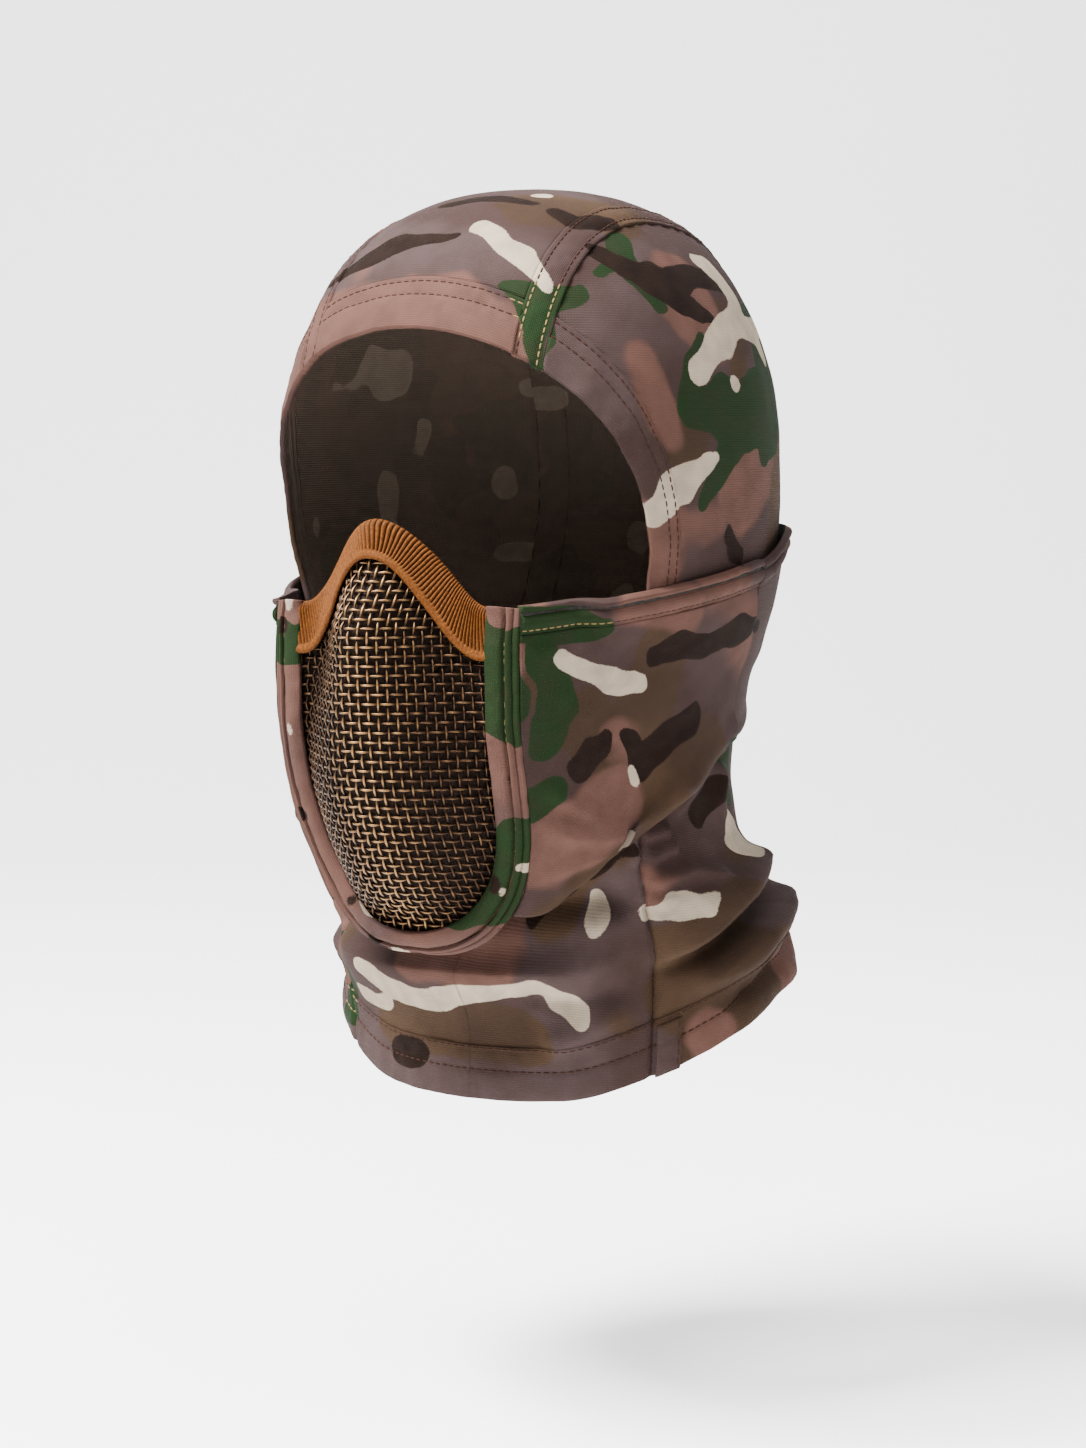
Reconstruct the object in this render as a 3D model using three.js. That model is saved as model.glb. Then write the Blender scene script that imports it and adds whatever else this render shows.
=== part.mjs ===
// A stretch-jersey balaclava: hood, neck gaiter and a face cover with a woven steel mesh half mask.
// Millimetres, +Z up. The face looks towards -Y and the wearer's left is +X.
// The origin is the inside of the crown, where the hood sits on the top of the head.

import * as THREE from 'three';
import { mergeVertices } from 'three/addons/utils/BufferGeometryUtils.js';

// ---------------------------------------------------------------- driving dimensions

const jersey = 1.2; // thickness of one layer of the body jersey
const doubled = 2.0; // thickness of a felled seam or a turned hem, which is more than one layer
const seamGap = 0.3; // running gap between two sewn neighbours

const headBreadth = 152; // inside width of the hood above the ears
const headFront = 90.5; // from the head's axis forward to the brow
const headBack = 91; // from the head's axis to the back of the skull
const headAxisY = 6; // where the head's axis lies
const crownHeight = 101.5; // from the widest level up to the crown
const browPower = 2.35; // squareness of the level outline in front: 2 is an ellipse
const backPower = 2.1; // and behind
const domePower = 2.45; // the same for the curve over the crown

const neckBreadth = 125; // inside width of the gaiter at its narrowest
const neckFront = 66; // from the neck's axis to the throat
const neckBack = 62; // from the neck's axis to the nape
const neckAxisY = 8;
const gaiterLength = 144; // from the neck seam down to the hem at the throat
const hemBreadth = 160; // inside width of the gaiter at its hem
const hemFront = 58;
const hemBack = 78;
const hemAxisY = 22;
const hemRise = 42; // how much higher the hem lies at the back than at the throat
const neckHemWidth = 18; // depth of the gaiter's turned hem

const openingHeight = 156; // the face opening, measured down the face
const openingHalfAngle = 56; // half its width, in degrees about the head's axis
const openingCentreZ = -125;
const browHemWidth = 19; // depth of the turned hem at the brow
const cheekHemWidth = 12; // depth of the same hem beside and below the face

const crownStripWidth = 90; // from one crown seam line to the other
const felledWidth = 9; // width of the felled crown seams
const neckSeamZ = -155; // hidden ring seam between the hood and the gaiter
const sideSeamHem = 54; // where the gaiter's side seams reach the hem, in degrees from the throat

const coverLift = 2.8; // the face cover's inner face above the head form
const coverTopBackZ = -109; // top edge of the face cover at the back of the head
const coverTopSideZ = -120.5; // and where the wings join the back panel
const coverLowBackZ = -168;
const coverLowSideZ = -180;
const wingAngle = 100; // where the wings join the back panel, in degrees from the face
const tunnelHeight = 9; // the top hem's tunnel, which holds the elastic
const tunnelDepth = 3.2;
const tunnelWall = 0.8;
const elasticWidth = 6;
const elasticThickness = 0.6;

const maskHalfWidth = 35; // half the open width of the wire mesh
const maskTopZ = -133; // top ends of the mask beside the nose
const maskRoundZ = -178.5; // below this level the outline rounds in to the chin
const chinDrop = 59; // from there down to the lowest point of the open mesh
const chinPower = 2.5; // squareness of the chin's outline
const bridgeRise = 27; // the nose bridge above the mask's top ends
const trimEndWidth = 16; // the bridge trim at its ends
const trimRise = 31; // the trim's lower edge over the nose
const meshThickness = 1.0; // two crossing wires of the weave
const liningThickness = 0.55;
const rimRadius = 1.0; // steel wire round the edge of the mesh
const rimDrop = 0.9; // how much lower than its seat the rim runs in the bridge trim
const bindingWidth = 8.6; // the cloth binding round the cheeks and the chin
const bindingWall = 1.0;
const bindingSlot = 3.4; // space between the binding's two leaves
const pipingRadius = 1.1;
const pipingSetBack = 1.5; // how far behind the binding's middle the piping and the wings start
const padThickness = 4.5;
const padSpan = 0.55; // how much of the trim's length the pad backs
const padMargin = 3.5; // from the trim's lower edge up to the pad
const padChamfer = 1.5;

const faceY = headAxisY - headFront; // the plane of the brow, which the mask is set out from

// ---------------------------------------------------------------- small maths

const radians = THREE.MathUtils.degToRad;
const degrees = THREE.MathUtils.radToDeg;
const lerp = THREE.MathUtils.lerp;
const vector = (x, y, z) => new THREE.Vector3(x, y, z);
const mix = (a, b, t) => a.clone().lerp(b, t);
const fold = (angle) => Math.abs(((angle + 180) % 360) - 180); // degrees from the face, either way

/** A smooth value through stations [[place, value], ...], with no overshoot between them. */
function through(stations, place) {
  const last = stations.length - 1;
  const sorted = stations[0][0] < stations[last][0] ? stations : [...stations].reverse();
  const x = THREE.MathUtils.clamp(place, sorted[0][0], sorted[last][0]);
  const chord = (k) => (sorted[k + 1][1] - sorted[k][1]) / (sorted[k + 1][0] - sorted[k][0]);
  const slope = (k) => {
    if (k === 0 || k === last) return 0;
    const before = chord(k - 1);
    const after = chord(k);
    return before * after <= 0 ? 0 : (2 * before * after) / (before + after);
  };
  let k = 0;
  while (k < last - 1 && x > sorted[k + 1][0]) k += 1;
  const width = sorted[k + 1][0] - sorted[k][0];
  const t = (x - sorted[k][0]) / width;
  const rise = (3 - 2 * t) * t * t;
  return sorted[k][1] * (1 - rise) + sorted[k + 1][1] * rise
    + width * t * (1 - t) * ((1 - t) * slope(k) - t * slope(k + 1));
}

/** The value between low and high where a rising test function reaches zero. */
function solve(test, low, high) {
  let [a, b] = [low, high];
  for (let step = 0; step < 40; step += 1) {
    const middle = (a + b) / 2;
    if (test(middle) < 0) a = middle;
    else b = middle;
  }
  return (a + b) / 2;
}

// ---------------------------------------------------------------- the head and neck form

const widestZ = -crownHeight;
const hemZ = neckSeamZ - gaiterLength;

/** A level of the gaiter: 0 is the neck at its narrowest, 1 is the hem. */
const gaiterLevel = (z, share) => [
  z, lerp(neckBreadth, hemBreadth, share) / 2, lerp(neckFront, hemFront, share),
  lerp(neckBack, hemBack, share), lerp(neckAxisY, hemAxisY, share),
];

// Levels from the widest one down to the hem: height, half width, front, back and axis.
const levels = [
  [widestZ, headBreadth / 2, headFront, headBack, headAxisY],
  [-135, headBreadth / 2 - 3.5, headFront - 3, headBack - 9, headAxisY],
  [-165, headBreadth / 2 - 11, headFront - 12, neckBack + 4, headAxisY + 1],
  gaiterLevel(-195, 0),
  gaiterLevel(-218, 0.12),
  gaiterLevel(-235, 0.5),
  gaiterLevel(-255, 0.88),
  gaiterLevel(hemZ, 1),
];
const levelValue = (column, z) => through(levels.map((row) => [row[0], row[column]]), z);
const axisAt = (z) => levelValue(4, z);

/** Distance from the axis to the form, at an angle from the face and a height below the crown. */
function formRadius(angle, z) {
  const forward = Math.cos(angle);
  const power = forward > 0 ? through([[widestZ, browPower], [neckSeamZ, 2]], z) : backPower;
  const across = Math.abs(Math.sin(angle)) / levelValue(1, z);
  const along = Math.abs(forward) / levelValue(forward > 0 ? 2 : 3, z);
  const level = (across ** power + along ** power) ** (-1 / power);
  const climb = Math.min(Math.max(z - widestZ, 0) / crownHeight, 1);
  return level * (1 - climb ** domePower) ** (1 / domePower);
}

const angleOf = (p) => Math.atan2(p.x, axisAt(p.z) - p.y);

/** How far out a point lies: 1 on the form, more outside it. */
function formRatio(p) {
  if (p.z < widestZ) return Math.hypot(p.x, p.y - axisAt(p.z)) / formRadius(angleOf(p), p.z);
  const plan = Math.hypot(p.x, p.y - headAxisY) / formRadius(angleOf(p), widestZ);
  const climb = (p.z - widestZ) / crownHeight;
  return (plan ** domePower + climb ** domePower) ** (1 / domePower);
}

function formNormal(p) {
  const h = 0.4;
  const beside = (axis, step) => formRatio(p.clone().addScaledVector(axis, step));
  const slope = (axis) => beside(axis, h) - beside(axis, -h);
  return vector(slope(vector(1, 0, 0)), slope(vector(0, 1, 0)), slope(vector(0, 0, 1))).normalize();
}

/** The point carried straight in or out to the form, then lifted off it. */
function onForm(p, lift = 0) {
  const centre = p.z < widestZ ? vector(0, axisAt(p.z), p.z) : vector(0, headAxisY, widestZ);
  const on = centre.clone().addScaledVector(p.clone().sub(centre), 1 / formRatio(p));
  return lift ? on.addScaledVector(formNormal(on), lift) : on;
}

/** The point of the form at an angle in degrees from the face and at a height. */
function formPoint(angle, z, lift = 0) {
  const turn = radians(angle);
  const r = formRadius(turn, z);
  const on = vector(r * Math.sin(turn), axisAt(z) - r * Math.cos(turn), z);
  return lift ? on.addScaledVector(formNormal(on), lift) : on;
}

// ---------------------------------------------------------------- closed bodies

/** Welds a triangle list into one closed body whose faces point out. */
function closedBody(positions, triangles) {
  const raw = new THREE.BufferGeometry();
  raw.setAttribute('position', new THREE.Float32BufferAttribute(positions, 3));
  raw.setIndex(triangles);
  const welded = mergeVertices(raw, 1e-4);
  const index = welded.index.array;
  const place = welded.attributes.position;
  const [a, b, c] = [vector(), vector(), vector()];
  const kept = [];
  let volume = 0;
  for (let k = 0; k < index.length; k += 3) {
    const [i, j, l] = [index[k], index[k + 1], index[k + 2]];
    if (i === j || j === l || l === i) continue;
    kept.push([i, j, l]);
    a.fromBufferAttribute(place, i);
    b.fromBufferAttribute(place, j);
    c.fromBufferAttribute(place, l);
    volume += a.dot(b.cross(c));
  }
  welded.setIndex(kept.flatMap(([i, j, l]) => (volume > 0 ? [i, j, l] : [i, l, j])));
  welded.computeVertexNormals();
  return welded;
}

/** A shell from a grid: face(side, s, t) gives its outer face for side 1 and its inner one for 0. */
function shell(columns, rows, face, loop = false) {
  const wide = loop ? columns : columns + 1;
  const positions = [];
  for (const side of [0, 1]) {
    for (let j = 0; j <= rows; j += 1) {
      for (let i = 0; i < wide; i += 1) positions.push(...face(side, i / columns, j / rows).toArray());
    }
  }
  const id = (side, i, j) => (side * (rows + 1) + j) * wide + (i % wide);
  const triangles = [];
  const quad = (a, b, c, d) => triangles.push(a, b, c, a, c, d);
  for (let j = 0; j < rows; j += 1) {
    for (let i = 0; i < columns; i += 1) {
      quad(id(1, i, j), id(1, i + 1, j), id(1, i + 1, j + 1), id(1, i, j + 1));
      quad(id(0, i, j), id(0, i, j + 1), id(0, i + 1, j + 1), id(0, i + 1, j));
    }
  }
  for (let i = 0; i < columns; i += 1) {
    quad(id(0, i, 0), id(0, i + 1, 0), id(1, i + 1, 0), id(1, i, 0));
    quad(id(1, i, rows), id(1, i + 1, rows), id(0, i + 1, rows), id(0, i, rows));
  }
  for (let j = 0; j < rows && !loop; j += 1) {
    quad(id(1, 0, j), id(1, 0, j + 1), id(0, 0, j + 1), id(0, 0, j));
    quad(id(0, columns, j), id(0, columns, j + 1), id(1, columns, j + 1), id(1, columns, j));
  }
  return closedBody(positions, triangles);
}

/** Triangles that fill a profile, turned the same way round as the profile itself. */
function capTriangles(profile) {
  const flat = profile.map(([a, b]) => new THREE.Vector2(a, b));
  const filled = THREE.ShapeUtils.triangulateShape(flat, []);
  return THREE.ShapeUtils.isClockWise(flat) ? filled.map(([i, j, l]) => [i, l, j]) : filled;
}

/** A profile carried along stations { at, out, up }: each profile point is [out, up]. */
function sweep(stations, profileAt, loop = false) {
  const count = stations.length;
  const size = profileAt(0).length;
  const positions = [];
  stations.forEach(({ at, out, up }, k) => {
    for (const [a, b] of profileAt(k)) {
      positions.push(...at.clone().addScaledVector(out, a).addScaledVector(up, b).toArray());
    }
  });
  const triangles = [];
  for (let k = 0; k < (loop ? count : count - 1); k += 1) {
    for (let i = 0; i < size; i += 1) {
      const next = (i + 1) % size;
      const [here, there] = [k * size, ((k + 1) % count) * size];
      triangles.push(here + i, here + next, there + next, here + i, there + next, there + i);
    }
  }
  if (!loop) {
    const end = (count - 1) * size;
    for (const [i, j, l] of capTriangles(profileAt(0))) triangles.push(i, l, j);
    for (const [i, j, l] of capTriangles(profileAt(count - 1))) triangles.push(end + i, end + j, end + l);
  }
  return closedBody(positions, triangles);
}

/** A round profile: points on a circle about [0, 0]. */
function roundProfile(radius, sides) {
  return Array.from({ length: sides }, (_, k) => {
    const turn = (k / sides) * 2 * Math.PI;
    return [radius * Math.cos(turn), radius * Math.sin(turn)];
  });
}

// ---------------------------------------------------------------- the hood

const halfStrip = crownStripWidth / 2;
const browShare = (turn) => Math.max(0, Math.cos(turn)) ** 1.5;
const openingHemWidth = (turn) => lerp(cheekHemWidth, browHemWidth, browShare(turn));

/** The edge of the face opening: turn is 0 at the brow and half a circle at the chin. */
function openingEdge(turn) {
  const z = openingCentreZ + (openingHeight / 2) * Math.cos(turn);
  return formPoint(openingHalfAngle * Math.sin(turn), z);
}

/** A point of the form at a distance from the opening's edge, measured over the cloth. */
function besideOpening(turn, distance, lift = 0) {
  const edge = openingEdge(turn);
  const along = openingEdge(turn + 0.01).sub(openingEdge(turn - 0.01)).normalize();
  const away = formNormal(edge).cross(along);
  return onForm(edge.addScaledVector(away, distance), lift);
}

const turnAtX = (x, distance) => solve((turn) => besideOpening(turn, distance).x - x, -1.2, 1.2);
const turnAtZ = (z, distance) => solve((turn) => z - besideOpening(turn, distance).z, 1.2, Math.PI);

/** Part of the opening's turned hem, from one end to the other, mirrored on the right side. */
function openingHem(startAt, endAt, columns, side = 1) {
  return shell(columns, 2, (outer, s, t) => {
    const width = (turn) => t * openingHemWidth(turn);
    let turn = lerp(startAt(0), endAt(0), s);
    for (let pass = 0; pass < 3; pass += 1) turn = lerp(startAt(width(turn)), endAt(width(turn)), s);
    const p = besideOpening(turn, width(turn), outer * doubled);
    return vector(side * p.x, p.y, p.z);
  });
}

/** The crown seen from its side: from the face over the top, then straight down the back of the head. */
const crownTop = 180; // the travel in degrees from the brow's level over the top to the widest level
const travelDown = 0.6; // degrees of travel for each millimetre below that level
const crownEnd = crownTop + (widestZ - neckSeamZ) * travelDown;

function crownPoint(x, travel, lift) {
  const turn = radians(Math.min(travel, crownTop));
  const below = Math.max(travel - crownTop, 0) / travelDown;
  let p = vector(x, headAxisY - headFront * Math.cos(turn), widestZ + headFront * Math.sin(turn) - below);
  for (let pass = 0; pass < 12; pass += 1) p = onForm(p).setX(x);
  return onForm(p, lift);
}

/** Where the crown's cloth starts at a distance across from the middle, behind a strip of the hem. */
function crownStart(x, behind) {
  const across = Math.abs(x);
  const turn = turnAtX(across, behind);
  const p = besideOpening(turn, behind);
  return degrees(Math.atan2(p.z - widestZ, headAxisY - p.y));
}

function crownStrip(from, to, columns, rows, behind, thickness, side = 1) {
  return shell(columns, rows, (outer, s, t) => {
    const x = lerp(from, to, s);
    const travel = lerp(crownStart(x, behind), crownEnd - seamGap * travelDown, t);
    return crownPoint(side * x, travel, outer * thickness);
  });
}

function crownPanel() {
  const half = halfStrip - felledWidth - seamGap;
  return crownStrip(-half, half, 6, 24, browHemWidth + seamGap, jersey);
}

const crownSeam = (side) => crownStrip(halfStrip - felledWidth, halfStrip, 1, 26, 0, doubled, side);

/** The side panel's outline: over the crown seam, down the back, along the neck seam, up the hem. */
function sideOutline() {
  const x = halfStrip + seamGap;
  const behind = (turn) => openingHemWidth(turn) + seamGap;
  const frontTurn = turnAtX(x, browHemWidth);
  const lowZ = neckSeamZ + seamGap;
  const start = crownStart(x, behind(frontTurn));
  const seam = (t) => crownPoint(x, lerp(start, crownEnd - seamGap * travelDown, t), 0);
  const backAngle = degrees(angleOf(seam(1)));
  const lowTurn = turnAtZ(lowZ, cheekHemWidth + seamGap);
  const frontAngle = degrees(angleOf(besideOpening(lowTurn, behind(lowTurn))));
  const neck = (t) => formPoint(lerp(backAngle, frontAngle, t), lowZ);
  const highTurn = turnAtX(x, behind(frontTurn));
  const hem = (t) => {
    const turn = lerp(lowTurn, highTurn, t);
    return besideOpening(turn, behind(turn));
  };
  const outline = [];
  for (const [edge, steps] of [[seam, 18], [neck, 9], [hem, 9]]) {
    for (let k = 0; k < steps; k += 1) outline.push(edge(k / steps));
  }
  return outline;
}

function hoodSide(side) {
  const outline = sideOutline();
  const ear = formPoint(96, widestZ);
  return shell(outline.length, 6, (outer, s, t) => {
    const edge = outline[Math.round(s * outline.length) % outline.length];
    const p = onForm(mix(edge, ear, t), outer * jersey);
    return vector(side * p.x, p.y, p.z);
  }, true);
}

// ---------------------------------------------------------------- the neck gaiter

/** Height of the gaiter's hem edge at an angle in degrees from the throat. */
function hemEdgeZ(angle) {
  const climb = [[0, 0], [30, 0.03], [60, 0.3], [90, 0.69], [120, 0.88], [180, 1]];
  return hemZ + hemRise * through(climb, fold(angle));
}

const gapAngle = degrees(seamGap / neckBreadth); // what a seam gap takes round the neck
const chinHemTurn = turnAtZ(neckSeamZ - seamGap, cheekHemWidth + seamGap);
const sideSeamTop = degrees(angleOf(besideOpening(chinHemTurn, cheekHemWidth + seamGap))) + gapAngle;
const sideSeamAngle = (z) => lerp(sideSeamTop, sideSeamHem, (neckSeamZ - z) / gaiterLength);

/** A place on the gaiter between its side seams, round the back from the left seam to the right. */
const backSpread = (s, z) => lerp(sideSeamAngle(z) + gapAngle, 360 - sideSeamAngle(z) - gapAngle, s);
/** And round the throat from the right seam to the left. */
const frontSpread = (s, z) => (2 * s - 1) * (sideSeamAngle(z) - gapAngle);

/** Height at a distance above the hem's edge, on one of those two lines. */
function aboveHem(spread, s, distance) {
  let z = hemZ + distance;
  for (let pass = 0; pass < 5; pass += 1) z = hemEdgeZ(spread(s, z)) + distance;
  return z;
}

function neckFrontPanel() {
  return shell(18, 8, (outer, s, t) => {
    const turn = lerp(chinHemTurn, 2 * Math.PI - chinHemTurn, s);
    const top = besideOpening(turn, cheekHemWidth + seamGap);
    const spread = (z) => sideSeamAngle(z) - gapAngle;
    const topShare = degrees(angleOf(top)) / spread(top.z);
    const lowShare = 1 - 2 * s;
    const bottom = aboveHem(frontSpread, 1 - s, neckHemWidth + seamGap);
    const z = lerp(top.z, bottom, t);
    return formPoint(lerp(topShare, lowShare, t) * spread(z), z, outer * jersey);
  });
}

function neckBackPanel() {
  return shell(26, 8, (outer, s, t) => {
    const z = lerp(neckSeamZ - seamGap, aboveHem(backSpread, s, neckHemWidth + seamGap), t);
    return formPoint(backSpread(s, z), z, outer * jersey);
  });
}

function neckHem(spread, columns) {
  return shell(columns, 2, (outer, s, t) => {
    const z = aboveHem(spread, s, t * neckHemWidth);
    return formPoint(spread(s, z), z, outer * doubled);
  });
}

// ---------------------------------------------------------------- the mask's shape

const trimEndZ = maskTopZ - trimEndWidth;
const chinZ = maskRoundZ - chinDrop;

/** Half the open width of the mesh at a height. */
function maskWidth(z) {
  const drop = Math.min(Math.max(maskRoundZ - z, 0) / chinDrop, 1);
  return maskHalfWidth * (1 - drop ** chinPower) ** (1 / chinPower);
}

/** How far the mask's edge stands behind the brow's plane, by height below its top. */
const edgeDepth = (z) => faceY + through([
  [maskTopZ + 20, 6], [maskTopZ, 2.5], [maskTopZ - 12, 1], [maskTopZ - 35, 1.5],
  [maskTopZ - 55, 5.5], [maskTopZ - 75, 12.1], [maskTopZ - 88, 15.2], [maskTopZ - 98, 13.8],
  [chinZ, 10.5], [chinZ - 12, 13],
], z);

/** How far the crest of the nose, the mouth and the chin stands in front of that plane. */
const crestDepth = (z) => faceY - through([
  [maskTopZ + bridgeRise, 7.5], [maskTopZ + 14.5, 11.5], [maskTopZ - 9.5, 24.5],
  [maskTopZ - 28, 23.5], [maskTopZ - 53, 20.5], [maskTopZ - 79, 10.5], [maskTopZ - 92, 1.5],
  [chinZ, -10.5],
], z);

/** Sharpness of the crest: a narrow nose above, a round chin below. */
const crestSharpness = (z) => through([
  [maskTopZ, 4.5], [maskTopZ - 12, 3.6], [maskTopZ - 32, 2], [maskTopZ - 57, 1.15], [chinZ, 0.9],
], z);

/** The mask's middle surface: its depth at a place seen from the front. */
function maskDepth(x, z) {
  const share = Math.min(Math.abs(x) / Math.max(maskWidth(z), 1), 1);
  return lerp(edgeDepth(z), crestDepth(z), (1 - share * share) ** crestSharpness(z));
}

/** Upper and lower edge of the bridge trim, from 0 at the nose to 1 at the cheek. */
const bell = (x, power) => (1 - Math.min(Math.abs(x) / maskHalfWidth, 1) ** 2) ** power;
function trimUpper(share) {
  const x = maskHalfWidth * share;
  const z = maskTopZ + bridgeRise * bell(x, 2.2);
  return vector(x, maskDepth(x, z), z);
}
function trimLower(share) {
  const x = maskHalfWidth * (share - 0.19 * Math.sin(Math.PI * share));
  const z = trimEndZ + trimRise * bell(x, 2.8);
  return vector(x, maskDepth(x, z), z);
}

/** The edge of the open mesh, from the top on the wearer's right round the chin to the left. */
function maskEdgeCurve(steps) {
  const points = [];
  const rise = maskTopZ - maskRoundZ;
  for (let k = 0; k < 4; k += 1) points.push([maskHalfWidth, maskRoundZ + rise * (1 - k / 4)]);
  for (let k = 0; k <= steps; k += 1) {
    const turn = (k / steps) * (Math.PI / 2);
    const z = maskRoundZ - chinDrop * Math.sin(turn) ** (2 / chinPower);
    points.push([maskHalfWidth * Math.cos(turn) ** (2 / chinPower), z]);
  }
  const left = points.map(([x, z]) => vector(x, edgeDepth(z), z));
  const right = left.slice(0, -1).reverse().map((p) => vector(-p.x, p.y, p.z));
  return new THREE.CatmullRomCurve3([...left, ...right].reverse(), false, 'centripetal');
}

const maskEdge = maskEdgeCurve(10);
const chinTilt = 0.65; // how far the binding faces down at the chin

/** The frame of the binding at a share of its way round: its edge, outward and forward directions. */
function edgeStation(share) {
  const at = maskEdge.getPointAt(share);
  const along = maskEdge.getTangentAt(share);
  const low = Math.max(0, 1 - Math.abs(at.x) / maskHalfWidth) * (at.z < maskRoundZ ? 1 : 0);
  const up = vector(0, -1, -chinTilt * low);
  up.addScaledVector(along, -up.dot(along)).normalize();
  const out = along.clone().cross(up);
  if (out.dot(vector(at.x, 0, at.z - (maskTopZ - 40))) < 0) out.negate();
  return { at, out, up };
}

/** A closed ring seen from the front: round the cheeks and the chin, then back over the nose. */
function maskRing(outward, inset, around = 34, over = 16) {
  const ring = [];
  const ends = inset / maskEdge.getLength();
  for (let k = 0; k <= around; k += 1) {
    const { at, out } = edgeStation(lerp(ends, 1 - ends, k / around));
    ring.push(at.addScaledVector(out, outward));
  }
  for (let k = 1; k < over; k += 1) {
    const share = 1 - (2 * k) / over;
    const upper = trimUpper(Math.abs(share));
    const down = trimLower(Math.abs(share)).sub(upper);
    const p = upper.addScaledVector(down.normalize(), inset);
    ring.push(vector(Math.sign(share) * p.x, p.y, p.z));
  }
  return ring;
}

/** The mask's forward direction at a place seen from the front. */
function maskForward(p) {
  const h = 0.5;
  const width = maskWidth(p.z);
  if (Math.abs(p.x) > width - h) return vector(0, -1, 0);
  const dx = (maskDepth(p.x + h, p.z) - maskDepth(p.x - h, p.z)) / (2 * h);
  const dz = (maskDepth(p.x, p.z + h) - maskDepth(p.x, p.z - h)) / (2 * h);
  return vector(dx, -1, dz).normalize();
}

/** A dished sheet that follows the mask: a flat margin in the binding, then rings to the middle. */
function maskSheet(margin, inset, middle, thickness) {
  const rings = 6;
  const outerRing = maskRing(margin, inset);
  const openRing = maskRing(-0.6, trimEndWidth * 0.8); // just inside the binding and the trim
  const heart = vector(0, 0, maskRoundZ + 6);
  return shell(outerRing.length, rings + 1, (front, s, t) => {
    const k = Math.round(s * outerRing.length) % outerRing.length;
    const row = Math.round(t * (rings + 1));
    let p = outerRing[k].clone();
    let forward = vector(0, -1, 0);
    if (row > 0) {
      const q = mix(openRing[k], heart, (row - 1) / rings);
      p = vector(q.x, maskDepth(q.x, q.z), q.z);
      forward = maskForward(p);
    }
    return p.addScaledVector(forward, middle + (front - 0.5) * thickness);
  }, true);
}

// ---------------------------------------------------------------- the mask's parts

/** A leaf folded in two round an edge: two walls of a length with a slot between them. */
function foldedProfile(from, to, backFrom, slot, wall) {
  const [inside, outside] = [slot / 2, slot / 2 + wall];
  const soft = 0.7 * outside;
  return [
    [from, inside], [from, outside], [to + wall - soft, outside], [to + wall, outside - soft],
    [to + wall, soft - outside], [to + wall - soft, -outside], [backFrom, -outside], [backFrom, -inside],
    [to, -inside], [to, inside],
  ];
}

function maskBinding() {
  const steps = 34;
  const stations = Array.from({ length: steps + 1 }, (_, k) => edgeStation(k / steps));
  const profile = foldedProfile(seamGap, bindingWidth - bindingWall, 2, bindingSlot, bindingWall);
  return sweep(stations, () => profile);
}

function edgePiping() {
  const steps = 34;
  const stations = Array.from({ length: steps + 1 }, (_, k) => edgeStation(k / steps));
  const off = bindingWidth + seamGap + pipingRadius;
  const profile = roundProfile(pipingRadius, 6).map(([a, b]) => [a + off, b - pipingSetBack]);
  return sweep(stations, () => profile);
}

function bridgeStations(steps, spread) {
  return Array.from({ length: steps + 1 }, (_, k) => {
    const side = lerp(-spread, spread, k / steps);
    const upper = trimUpper(Math.abs(side));
    const lower = trimLower(Math.abs(side));
    for (const p of [upper, lower]) p.setX(Math.sign(side) * p.x);
    return { upper, lower, width: upper.distanceTo(lower) };
  }).map((here, k, all) => {
    const next = all[Math.min(k + 1, all.length - 1)];
    const before = all[Math.max(k - 1, 0)];
    const along = mix(next.upper, next.lower, 0.5).sub(mix(before.upper, before.lower, 0.5)).normalize();
    const out = here.upper.clone().sub(here.lower).normalize();
    const up = out.clone().cross(along).normalize();
    if (up.y > 0) up.negate();
    return { at: here.lower, out, up, width: here.width };
  });
}

function noseTrim() {
  const stations = bridgeStations(26, 1 - seamGap / maskHalfWidth);
  const profile = (width) => foldedProfile(0, width - bindingWall, 4, bindingSlot, bindingWall);
  return sweep(stations, (k) => profile(stations[k].width));
}

/** A foam strip behind the trim, with chamfered long edges. */
function nosePad() {
  const stations = bridgeStations(14, padSpan);
  const top = -(bindingSlot / 2 + bindingWall + seamGap);
  const back = top - padThickness;
  return sweep(stations, (k) => {
    const [low, high] = [padMargin, stations[k].width - 1];
    return [[high, top], [high - padChamfer, back], [low + padChamfer, back], [low, top]];
  });
}

function meshRim() {
  const seat = bindingWall + rimRadius + seamGap;
  const ring = maskRing(bindingWidth - seat, seat + rimDrop);
  const stations = ring.map((at, k) => {
    const [before, next] = [ring.at(k - 1), ring[(k + 1) % ring.length]];
    const along = next.clone().sub(before).normalize();
    const up = vector(0, -1, 0).addScaledVector(along, along.y).normalize();
    return { at, out: along.clone().cross(up), up };
  });
  const profile = roundProfile(rimRadius, 6);
  return sweep(stations, () => profile, true);
}

const rimInset = bindingWall + 2 * rimRadius + 2 * seamGap + rimDrop;
const wireMesh = () => maskSheet(bindingWidth - rimInset, rimInset, 0, meshThickness);
function meshLining() {
  const behind = -(meshThickness + liningThickness) / 2 - seamGap;
  return maskSheet(bindingWidth - rimInset - 1, rimInset + 1, behind, liningThickness);
}

// ---------------------------------------------------------------- the face cover

const wingStart = bindingWidth + 2 * pipingRadius + 2 * seamGap; // outward of the open mesh's edge
const wingSteps = 20; // stations from the mask to the back panel, shared by the wing and its hem
const alongWing = (share) => share ** 1.5; // closer together at the mask, where the wing turns most
const wingLowShare = 0.12; // how far before the chin's middle the wings end, as a share of the edge

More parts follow.
